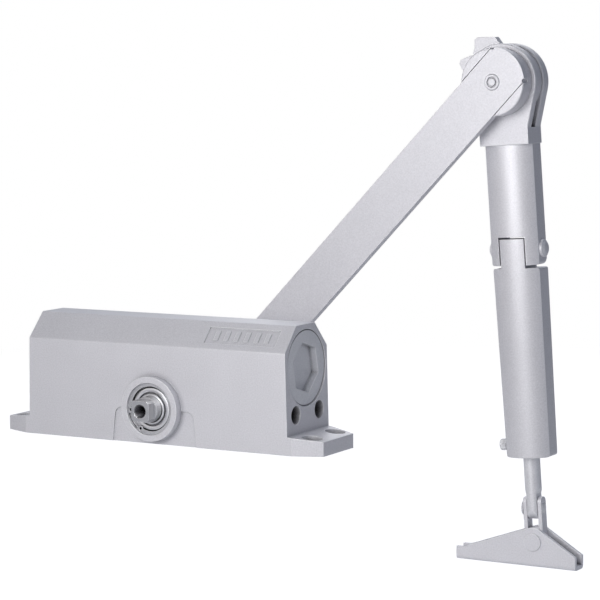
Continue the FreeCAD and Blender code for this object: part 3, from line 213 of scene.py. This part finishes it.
def metalFinish(name, **changes):
    # colour = body tone x (1 + drift + flakes), worn and with a painted highlight at edges, with dirt and painted
    # shade in corners, and painted shade deep in holes;
    # height = grain + ripples + lathe rings, over a softened edge
    look = {**plainLook, **changes}
    finish = newFinish(name)
    here = finish.place()
    drift = finish.noise(here, look["cloudScale"], 4.0) - 0.5
    fine = finish.noise(finish.place(look["stretch"], look["turn"]), look["grainScale"], 2.0)
    flake = finish.noise(here, look["speckScale"], 1.0, 0.8) - 0.5
    softNormal = finish.add("Bevel", {"samples": look["edgeSamples"]}, {"Radius": look["edgeRound"]})
    match = finish.dot(softNormal, finish.add("NewGeometry", output=1))
    # edges: worn metal and a painted highlight, found where the softened normal turns from the true one
    rubbedAndLit = ((1 - match) * look["edgeGain"]).kept() * look["wear"]
    # painted shade, with some dirt, in corners that little sky reaches
    shut = (1 - finish.openness(look["corner"], look["cornerSamples"], True)) * look["cornerShade"]
    # painted shade deep in holes and in gaps between parts, where little sky is open
    sky = finish.openness(look["hollow"], look["hollowSamples"], look["alone"])
    hollow = ((look["hollowEdge"] - sky) * look["hollowShade"]).kept()
    if look["seam"]:
        # 1 on the seam's radius, falling to 0 a width away on either side
        radius, width = look["seam"]
        away = fromAxis(finish, look["seamAxis"], look["seamCentre"]) * (1 / width) - radius / width
        hollow = hollow.atLeast(1 - abs(away))
    level = 1 + drift * (2 * look["cloud"]) + flake * (2 * look["speck"])
    shade = finish.add("CombineColor", values={0: level, 1: level, 2: level})
    body = finish.add("Mix", {"data_type": "RGBA", "blend_type": "MULTIPLY"},
                      {0: 1.0, 6: look["tone"], 7: shade}, 2)
    body = finish.blendTones(rubbedAndLit, body, look["worn"])
    body = finish.blendTones(shut.kept(), body, look["dirt"])
    body = finish.blendTones(hollow, body, look["dark"])
    height = (fine - 0.5) * look["grain"]
    if look["ripple"]:
        height = height + (finish.noise(here, look["rippleScale"], 2.0) - 0.5) * look["ripple"]
    if look["rings"]:
        height = height + ringHeight(finish, look)
    lumpy = finish.add("Bump", values={"Strength": 1.0, "Distance": 1.0, "Height": height, "Normal": softNormal})
    roughness = look["rough"] + drift * look["roughDrift"] + (fine - 0.5) * look["roughGrain"]
    roughness = (roughness - rubbedAndLit * look["roughWorn"] + shut * look["roughDirt"]).kept(*look["roughLimits"])
    surface = finish.add("BsdfPrincipled", values={
        "Base Color": body, "Metallic": look["metal"], "Roughness": roughness, "Normal": lumpy})
    finish.add("OutputMaterial", values={"Surface": surface})
    return finish.owner


def fromAxis(finish, axis, centre):
    # distance from a line along an axis through a centre
    flatten = {"X": (0, 1, 1), "Y": (1, 0, 1), "Z": (1, 1, 0)}[axis]
    return finish.length(finish.place(flatten, (0, 0, 0), centre))


def ringHeight(finish, look):
    # lathe marks: noise that depends only on the distance from an axis, in steps of the ring pitch
    radius = fromAxis(finish, look["ringAxis"], look["ringCentre"])
    steps = finish.add("TexNoise", {"noise_dimensions": "1D"},
                       {"W": radius * (1 / look["ringPitch"]), "Scale": 1.0, "Detail": 2.0})
    return (steps - 0.5) * look["rings"]


rubberLook = {"deep": tone(0.028, 0.028, 0.03), "dusted": tone(0.07, 0.07, 0.072), "scale": 900.0,
              "height": 0.00002, "rough": 0.55, "roughDust": 0.2}


def rubberFinish(name):
    # moulded rubber: near black, dusted by a fine mottle
    look = rubberLook
    finish = newFinish(name)
    mottle = finish.noise(finish.place(), look["scale"], 4.0)
    body = finish.blendTones(mottle, look["deep"], look["dusted"])
    height = (mottle - 0.5) * look["height"]
    surface = finish.add("BsdfPrincipled", values={
        "Base Color": body, "Roughness": look["rough"] + mottle * look["roughDust"],
        "Normal": finish.add("Bump", values={"Strength": 1.0, "Distance": 1.0, "Height": height})})
    finish.add("OutputMaterial", values={"Surface": surface})
    return finish.owner


def turnedLook(axis, centre, **changes):
    # bare metal with lathe marks round an axis
    return {"metal": 1.0, "rings": 0.000012, "ringAxis": axis, "ringCentre": centre, "speck": 0.02,
            "alone": False, **changes}


def middle(node):
    low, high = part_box(node)
    return tuple((low + high) / 2)


armTurn = math.radians(45.9)   # the main arm's lean from the housing
foreLean = math.radians(3.85)  # the forearm's lean from upright

# the cast body's corners reach farther, so painted shade spreads round the boss and the foot, and its edges get a
# stronger painted highlight
bodyPaint = metalFinish("silverPaintCast", ripple=0.00003, grain=0.000016, wear=1.2, corner=0.0028)
# the plug's edges get a still stronger painted highlight, round its hexagon pocket and rim
plugPaint = metalFinish("silverPaintPlug", rough=0.42, wear=1.5, tone=tone(0.66, 0.665, 0.69),
                        seam=(0.0180, 0.0005), seamCentre=middle("end_plug_right"))
armPaint = metalFinish("silverPaintArm", stretch=(0.12, 1, 1), turn=(0, armTurn, 0), grain=0.000008)
elbowPaint = metalFinish("silverPaintElbow")
tubePaint = metalFinish("silverPaintTube", metal=0.40, rough=0.46, tone=tone(0.665, 0.66, 0.69),
                        grain=0.000016, stretch=(1, 1, 0.15), turn=(0, -foreLean, 0))
shoePaint = metalFinish("silverPaintShoe", tone=tone(0.72, 0.715, 0.75))
spindleSteel = metalFinish("turnedSpindleSteel", **turnedLook(
    "Y", middle("spindle"), rough=0.32, tone=tone(0.68, 0.68, 0.695), hollowEdge=0.36))
collarSteel = metalFinish("satinCollarSteel", **turnedLook(
    "Y", middle("spindle"), rough=0.42, ringPitch=0.0002, tone=tone(0.80, 0.80, 0.82), cornerShade=0.6,
    hollowEdge=0.34))
springClipSteel = metalFinish("satinClipSteel", metal=0.8, rough=0.40, tone=tone(0.62, 0.62, 0.64),
                              alone=False)
rodSteel = metalFinish("drawnRodSteel", metal=0.45, rough=0.40, tone=tone(0.74, 0.74, 0.765),
                       stretch=(1, 1, 0.05), turn=(0, -foreLean, 0))
zincSteel = metalFinish("brightZincSteel", metal=0.6, rough=0.34, tone=tone(0.78, 0.78, 0.80),
                        cornerShade=0.5)
oiledSteel = metalFinish("oiledSpringSteel", metal=1.0, rough=0.34, tone=tone(0.16, 0.16, 0.18),
                         worn=tone(0.4, 0.4, 0.42))
pistonIron = metalFinish("machinedIron", **turnedLook(
    "X", middle("piston"), rough=0.42, tone=tone(0.24, 0.24, 0.25)))
screwBrass = metalFinish("turnedBrass", metal=1.0, rough=0.3, tone=tone(0.62, 0.47, 0.20),
                         worn=tone(0.85, 0.7, 0.4), dirt=tone(0.15, 0.1, 0.04))
# the thread's near-black tone is painted shade of the deep hole, and its lighter edge colour paints highlights on
# the thread
threadSteel = metalFinish("cutThreadSteel", metal=1.0, rough=0.35, tone=tone(0.11, 0.11, 0.12),
                          worn=tone(0.35, 0.35, 0.36), hollowEdge=0.34, hollowShade=4.0)
sealRubber = rubberFinish("sealRubber")

finishes = {
    bodyPaint: ["housing"],
    plugPaint: ["end_plug_right", "end_plug_left"],
    armPaint: ["main_arm"],
    elbowPaint: ["elbow_disc", "hold_open_cam", "elbow_rivet", "elbow_clevis", "fold_pin"],
    tubePaint: ["upper_sleeve", "lower_tube"],
    shoePaint: ["link_fork", "shoe", "shoe_pin"],
    spindleSteel: ["spindle"],
    collarSteel: ["seal_collar_front", "seal_collar_back"],
    springClipSteel: ["circlip_front", "circlip_back", "elbow_washer"],
    rodSteel: ["adjusting_rod", "hold_open_plunger", "spindle_bearing_front", "spindle_bearing_back",
               "check_ball"],
    zincSteel: ["arm_washer", "arm_screw", "link_pin", "clamp_screw"],
    oiledSteel: ["closing_spring", "hold_open_spring"],
    pistonIron: ["piston"],
    screwBrass: ["closing_valve_screw", "latching_valve_screw", "check_valve_ring"],
    sealRubber: ["plug_seal_right", "plug_seal_left", "closing_valve_seal", "latching_valve_seal"],
}
for finish, names in finishes.items():
    for name in names:
        nodes[name].data.materials.clear()
        nodes[name].data.materials.append(finish)
print("finishes:", len(finishes), "on", sum(len(names) for names in finishes.values()), "pieces")


# new pieces: rings of points, closed round and at both ends

def angles(count):
    return 2 * np.pi * np.arange(count) / count


sharpEdge = math.radians(32)  # faces that meet at more than this show an edge


def loftPiece(name, rings, finish, body, stands, endless=False):
    # each ring joins to the next by four-sided faces; the end rings close on a point in their middle,
    # or an endless piece joins its last ring to its first
    count, around = rings.shape[:2]
    points = rings.reshape(-1, 3)
    here = np.arange(count * around).reshape(count, around)
    if endless:
        here = np.vstack([here, here[:1]])
    right = np.roll(here, -1, axis=1)
    quads = np.stack([here[:-1], right[:-1], right[1:], here[1:]], axis=-1).reshape(-1, 4)
    caps = np.zeros((0, 3), int)
    if not endless:
        points = np.vstack([points, rings[0].mean(0), rings[-1].mean(0)])
        first = np.stack([right[0], here[0], np.full(around, count * around)], axis=-1)
        last = np.stack([here[-1], right[-1], np.full(around, count * around + 1)], axis=-1)
        caps = np.vstack([first, last])
    mesh = bpy.data.meshes.new(name)
    mesh.from_pydata(points.tolist(), [], quads.tolist() + caps.tolist())
    if signedVolume(points, quads, caps) < 0:
        mesh.flip_normals()
    mesh.polygons.foreach_set("use_smooth", np.ones(len(mesh.polygons), bool))
    mesh.set_sharp_from_angle(angle=sharpEdge)
    mesh.materials.append(finish)
    piece = bpy.data.objects.new(name, mesh)
    scene.collection.objects.link(piece)
    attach(piece, body)
    if stands:
        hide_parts(*stands)
    return piece


def signedVolume(points, quads, triangles):
    # sum over the faces of corner . (corner x corner) / 6: above zero when faces point outwards
    corners = np.vstack([quads[:, [0, 1, 2]], quads[:, [0, 2, 3]], triangles])
    a, b, c = points[corners[:, 0]], points[corners[:, 1]], points[corners[:, 2]]
    return float(np.einsum("ij,ij->i", a, np.cross(b, c)).sum() / 6)


def along(points, origin, direction):
    # turns points drawn about +Z so that +Z lies along a direction, then moves them to the origin point
    turn = np.array(Vector((0, 0, 1)).rotation_difference(Vector(direction)).to_matrix())
    return points @ turn.T + np.array(origin)


coilEnds = {"start": 0.3, "turnOn": 2.2}  # height of the wire at a coil's end and one turn on, in wire radii


def coilRings(coil):
    # a wire circle carried round a helix; the end turns lie close, and their outer faces are ground flat
    turns = np.linspace(0, coil["turns"], int(coil["turns"] * coil["stepsPerTurn"]) + 1)
    wire, length = coil["wire"], coil["length"]
    start, turnOn = coilEnds["start"] * wire, coilEnds["turnOn"] * wire
    lift = np.interp(turns, [0, 1, coil["turns"] - 1, coil["turns"]],
                     [start, turnOn, length - turnOn, length - start])
    angle = 2 * np.pi * turns
    out = np.stack([np.cos(angle), np.sin(angle), 0 * angle], axis=-1)
    path = out * coil["radius"] + np.stack([0 * lift, 0 * lift, lift], axis=-1)
    heading = np.gradient(path, axis=0)
    heading /= np.linalg.norm(heading, axis=1, keepdims=True)
    side = np.cross(heading, out)
    around = angles(coil["sides"])
    rings = (path[:, None] + wire * (np.cos(around)[None, :, None] * out[:, None]
                                     + np.sin(around)[None, :, None] * side[:, None]))
    rings[..., 2] = np.clip(rings[..., 2], 0, length)
    return rings


closingCoil = {"radius": 0.0126, "wire": 0.0016, "turns": 5.5, "stepsPerTurn": 48, "sides": 14,
               "travel": 0.0217}  # travel: how far the piston presses it together


def closingSpring():
    low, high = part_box("closing_spring")
    centre = (low + high) / 2
    coil = {**closingCoil, "length": high.x - low.x}
    rings = along(coilRings(coil), (low.x, centre.y, centre.z), (1, 0, 0))
    piece = loftPiece("closingSpringCoil", rings, oiledSteel, "housing", ["closing_spring"])
    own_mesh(piece)


holdCoil = {"radius": 0.0030, "wire": 0.0005, "turns": 11.0, "stepsPerTurn": 36, "sides": 10, "travel": 0.0015,
            "length": 0.0245, "low": 0.0620}  # low: distance of the fixed end below the elbow


def holdOpenSpring():
    coil = holdCoil
    down = Vector((math.sin(foreLean), 0, -math.cos(foreLean)))
    foot = elbowPoint("hold_open_plunger") + down * coil["low"]
    rings = along(coilRings(coil), foot, -down)
    piece = loftPiece("holdOpenSpringCoil", rings, oiledSteel, "forearm", ["hold_open_spring"])
    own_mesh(piece)


def elbowPoint(node):
    # the elbow's pivot, at the depth of the middle of a node
    pivot = next(joint for joint in frame["joints"] if joint["name"] == "elbow_fold")["pos_m"]
    return Vector((pivot[0], middle(node)[1], pivot[2]))


def screwRings(rows, sides):
    # rows of (height, radius, rib depth, ribs, hexagon share), where what is left out is 0: a ring at each
    # height, of radius x (1 - share + share x the hexagon's reach) - rib depth x (1 - cos(ribs x angle)) / 2
    filled = [row + (0,) * (5 - len(row)) for row in rows]
    height, radius, depth, ribs, hexagon = (np.array(column, float)[:, None] for column in zip(*filled))
    angle = angles(sides)[None, :]
    sector = (angle + np.pi / 6) % (np.pi / 3) - np.pi / 6
    flat = math.cos(math.pi / 6) / np.cos(sector)
    reach = radius * (1 - hexagon + hexagon * flat) - depth * (0.5 - 0.5 * np.cos(ribs * angle))
    return np.stack([reach * np.cos(angle), reach * np.sin(angle), height + 0 * angle], axis=-1)


clampHead = {"radius": 0.0029, "height": 0.0036, "ribs": 18, "ribDepth": 0.00035, "shank": 0.0020, "edge": 0.0004,
             "tip": 0.0012, "tipLength": 0.0006, "dimple": 0.0009, "dimpleFloor": 0.0006, "dimpleDepth": 0.0004,
             "crown": 0.0001, "inset": 0.0002, "sides": 144}  # inset: how much shorter it is than its CAD solid


def clampScrew():
    # thumb screw: shank, undercut, ribbed head with a rounded crown
    size = clampHead
    low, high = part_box("clamp_screw")
    out = Vector((-math.cos(foreLean), 0, -math.sin(foreLean)))
    total = (high.x - low.x) / math.cos(foreLean) - size["inset"]
    tip = (low + high) / 2 - out * total / 2
    headFoot = total - size["height"]
    radius, deep, ribs, edge = size["radius"], size["ribDepth"], size["ribs"], size["edge"]
    rows = [(0.0, size["tip"]), (size["tipLength"], size["shank"]), (headFoot, size["shank"]),
            (headFoot, radius - edge), (headFoot + edge, radius, deep * 0.3, ribs),
            (headFoot + 2 * edge, radius, deep, ribs), (total - 2 * edge, radius, deep, ribs),
            (total - edge, radius - size["crown"], deep * 0.4, ribs), (total - 0.3 * edge, radius - edge),
            (total, radius - 2 * edge), (total, size["dimple"]),
            (total - size["dimpleDepth"], size["dimpleFloor"])]
    rings = along(screwRings(rows, size["sides"]), tip, out)
    loftPiece("clampThumbScrew", rings, zincSteel, "clamp", ["clamp_screw"])


armHead = {"radius": 0.0065, "height": 0.0046, "ribs": 48, "ribDepth": 0.00022, "shank": 0.0033, "key": 0.0034,
           "keyDepth": 0.0027, "edge": 0.0005, "pitch": 0.00125, "thread": 0.0004, "tip": 0.0022,
           "tipLength": 0.0008, "keyEdge": 0.0002, "drill": 0.0010, "drillDepth": 0.0005, "sides": 192}


def armScrew():
    # socket-headed screw: threaded shank, knurled head, six-sided socket
    size = armHead
    low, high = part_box("arm_screw")
    centre = (low + high) / 2
    total = high.y - low.y
    headFoot = total - size["height"]
    socketFloor = total - size["keyDepth"]
    radius, key, shank, thread = size["radius"], size["key"], size["shank"], size["thread"]
    edge, deep, ribs = size["edge"], size["ribDepth"], size["ribs"]
    turns = np.arange(size["pitch"], headFoot - size["pitch"], size["pitch"] / 2)
    rows = [(0.0, size["tip"]), (size["tipLength"], shank - thread)]
    rows += [(place, shank - thread * (step % 2)) for step, place in enumerate(turns)]
    rows += [(headFoot, shank), (headFoot, radius - edge),
             (headFoot + edge, radius, deep, ribs), (total - 2 * edge, radius, deep, ribs),
             (total - edge, radius), (total, radius - edge),
             (total, key + size["keyEdge"]), (total - size["keyEdge"], key, 0, 0, 1),
             (socketFloor, key, 0, 0, 1), (socketFloor - size["drillDepth"], size["drill"])]
    rings = along(screwRings(rows, size["sides"]), (centre.x, low.y, centre.z), (0, 1, 0))
    loftPiece("armSocketScrew", rings, zincSteel, "arm", ["arm_screw"])


spindleThread = {"radius": 0.00328, "depth": 0.0105, "inset": 0.0009, "pitch": 0.00125, "height": 0.0005,
                 "floor": 0.0022, "gap": 0.00004, "backWall": 0.0004, "lip": 0.0001, "sides": 48,
                 "rowsPerTurn": 10}  # gap: from the liner's outside to the widest thread


def threadLiner():
    # a cup whose inner wall waves in and out once a pitch, and once a turn, so the crests run round
    # as a screw thread
    size = spindleThread
    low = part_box("spindle")[0]
    centre = middle("spindle")
    angle = angles(size["sides"])[None, :]
    place = np.arange(size["inset"], size["depth"], size["pitch"] / size["rowsPerTurn"])[:, None]
    share = 0.5 - 0.5 * np.cos(2 * np.pi * place / size["pitch"] - angle)
    wall = size["radius"] - size["gap"] - size["height"] * share
    outer = np.array([size["depth"] + size["backWall"], size["inset"] - size["lip"]])[:, None]
    inward = np.vstack([outer, place, [[size["depth"]]]]) + 0 * angle
    reach = np.vstack([size["radius"] + 0 * outer * angle, wall, size["floor"] + 0 * angle])
    rings = np.stack([centre[0] + reach * np.cos(angle), low.y + inward,
                      centre[2] + reach * np.sin(angle)], axis=-1)
    loftPiece("spindleThreadLiner", rings, threadSteel, "arm", [])


collarDish = {"sides": 128, "outline": [  # (depth behind the front lip, radius) from the rim to the bore, metres
    (0.00150, 0.01275), (0.00150, 0.01070), (0.00110, 0.01045), (0.00050, 0.01025), (0.00035, 0.00990),
    (0.00040, 0.00860), (0.00060, 0.00830), (0.00135, 0.00815), (0.00150, 0.00790), (0.00140, 0.00765),
    (0.00040, 0.00750), (0.00005, 0.00720), (0.00000, 0.00690), (0.00010, 0.00655), (0.00040, 0.00640)]}


def sealCollar(node, name, facing):
    # a turned dish: flat outer ring, groove, raised inner lip; the outline is spun about the spindle
    low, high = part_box(node)
    deep = high.y - low.y
    outline = collarDish["outline"]
    rim, bore = outline[0][1], outline[-1][1]
    outline = np.array(outline + [(deep, bore), (deep, rim)])
    angle = angles(collarDish["sides"])[None, :]
    front = low.y if facing < 0 else high.y
    depth, radius = outline[:, :1], outline[:, 1:]
    centre = middle("spindle")
    rings = np.stack([centre[0] + radius * np.cos(angle), front - facing * depth + 0 * angle,
                      centre[2] + radius * np.sin(angle)], axis=-1)
    loftPiece(name, rings, collarSteel, "housing", [node], endless=True)


closingSpring()
holdOpenSpring()
clampScrew()
armScrew()
threadLiner()
sealCollar("seal_collar_front", "frontSealCollar", -1)
sealCollar("seal_collar_back", "backSealCollar", 1)
print("new pieces: two springs, two screws, two collars and a thread liner")


# floor, light and camera

plainWhite = tone(1, 1, 1)
floorSize = {"below": 0.0450, "radii": (0.0, 0.3, 0.6, 1.0, 1.6, 3.0, 6.0), "sides": 64,
             "clear": 0.35, "faded": 1.2,  # distances at which the glow begins and is full
             "lift": 0.62, "mottle": 30.0, "tones": (tone(0.80, 0.80, 0.81), tone(0.82, 0.82, 0.82))}


def paleFloor():
    # a disc whose light evens out to plain white away from the object; only the camera sees its glow
    size = floorSize
    low, high = cadBox
    centre = (low + high) / 2
    radii = np.array(size["radii"])[:, None]
    angle = angles(size["sides"])[None, :]
    points = np.stack([centre.x + radii * np.cos(angle), centre.y + radii * np.sin(angle),
                       low.z - size["below"] + 0 * radii * angle], axis=-1)
    here = np.arange(points.shape[0] * size["sides"]).reshape(-1, size["sides"])
    right = np.roll(here, -1, axis=1)
    quads = np.stack([here[:-1], here[1:], right[1:], right[:-1]], axis=-1).reshape(-1, 4)
    mesh = bpy.data.meshes.new("paleFloor")
    mesh.from_pydata(points.reshape(-1, 3).tolist(), [], quads.tolist())
    finish = newFinish("paleFloor")
    away = finish.length(finish.place((1, 1, 0), (0, 0, 0), tuple(centre)))
    fade = ((away - size["clear"]) * (1 / (size["faded"] - size["clear"]))).kept()
    mottle = finish.noise(finish.place(), size["mottle"])
    matt = finish.add("BsdfDiffuse", values={"Color": finish.blendTones(mottle, *size["tones"])})
    lift = finish.add("Emission", values={"Color": plainWhite, "Strength": size["lift"]})
    lit = finish.add("AddShader", values={0: matt, 1: lift})
    glow = finish.add("Emission", values={"Color": plainWhite, "Strength": 1.0})
    seen = finish.add("MixShader", values={0: fade, 1: lit, 2: glow})
    straight = finish.add("LightPath", output=0)
    surface = finish.add("MixShader", values={0: straight, 1: matt, 2: seen})
    finish.add("OutputMaterial", values={"Surface": surface})
    mesh.materials.append(finish.owner)
    floor = bpy.data.objects.new("paleFloor", mesh)
    scene.collection.objects.link(floor)


roomLight = {
    "base": 0.42,
    "pulls": [((-0.30, -0.95, 0.0), 0.34), ((0.90, 0.43, 0.0), 0.02), ((0, 0, 1), 0.22)],  # direction, gain
    "dimPatch": {"towards": (-0.1, -0.62, 0.78), "from": 0.50, "depth": 1.7},
    "limits": (0.05, 3.0),
    "cool": tone(0.74, 0.82, 1.0),
    "warm": tone(1.0, 0.95, 0.955),
    "warmSide": (-0.4, -0.9, -0.15),
    "warmReach": 0.35,  # how far the warm side reaches past square
}


def softRoom():
    # light from each side = base + sum of gain x (direction . side); the camera itself sees plain white
    scene.world = bpy.data.worlds.new("softRoom")
    room = Finish(scene.world)
    towards = room.add("TexCoord", output=0)
    level = roomLight["base"]
    for side, gain in roomLight["pulls"]:
        level = room.dot(towards, side) * gain + level
    patch = roomLight["dimPatch"]
    level = level - (room.dot(towards, patch["towards"]) - patch["from"]).kept() * patch["depth"]
    warmth = (room.dot(towards, roomLight["warmSide"]) + roomLight["warmReach"]).kept()
    colour = room.blendTones(warmth, roomLight["cool"], roomLight["warm"])
    lit = room.add("Background", values={"Color": colour, "Strength": level.kept(*roomLight["limits"])})
    seen = room.add("Background", values={"Color": plainWhite, "Strength": 1.0})
    straight = room.add("LightPath", output=0)
    surface = room.add("MixShader", values={0: straight, 1: lit, 2: seen})
    room.add("OutputWorld", values={"Surface": surface})


softboxes = {
    "keySoftbox": {"place": (-0.9, -1.5, 0.7), "aim": (0, 0, 0.08), "size": 0.9, "watts": 2.0},
    "elbowSoftbox": {"place": (0.08, -0.42, 0.22), "aim": (0.12, 0.04, 0.13), "size": 0.25, "watts": 1.25},
    "topSoftbox": {"place": (-0.2, 0.7, 1.2), "aim": (0, 0, 0.05), "size": 0.9, "watts": 4.5},
    "backSoftbox": {"place": (-0.3, 1.3, 0.55), "aim": (0.05, 0, 0.06), "size": 0.9, "watts": 3.6},
    "lowSoftbox": {"place": (0.25, -0.9, -0.03), "aim": (0.17, 0, -0.03), "size": 0.3, "watts": 0.5},
}


def hangSoftboxes():
    for name, box in softboxes.items():
        lamp = bpy.data.lights.new(name, "AREA")
        lamp.shape = "SQUARE"
        lamp.size = box["size"]
        lamp.energy = box["watts"]
        stand = bpy.data.objects.new(name, lamp)
        stand.location = box["place"]
        stand.rotation_euler = (Vector(box["aim"]) - Vector(box["place"])).to_track_quat("-Z", "Y").to_euler()
        scene.collection.objects.link(stand)


viewpoint = {"place": (0.62111, -0.95762, 0.18711), "look": (-0.49597, 0.86205, -0.10431), "roll": -0.44,
             "lens": 141.25, "sensor": 36.0, "nearest": 0.05}


def setCamera():
    camera = bpy.data.objects.new("viewCamera", bpy.data.cameras.new("viewCamera"))
    camera.data.sensor_width = viewpoint["sensor"]
    camera.data.lens = viewpoint["lens"]
    camera.data.clip_start = viewpoint["nearest"]
    camera.location = viewpoint["place"]
    turn = Vector(viewpoint["look"]).to_track_quat("-Z", "Y").to_matrix().to_4x4()
    camera.rotation_euler = (turn @ Matrix.Rotation(math.radians(viewpoint["roll"]), 4, "Z")).to_euler()
    scene.collection.objects.link(camera)
    scene.camera = camera


paleFloor()
softRoom()
hangSoftboxes()
setCamera()
scene.view_settings.view_transform = "Standard"
print("floor, light and camera set")
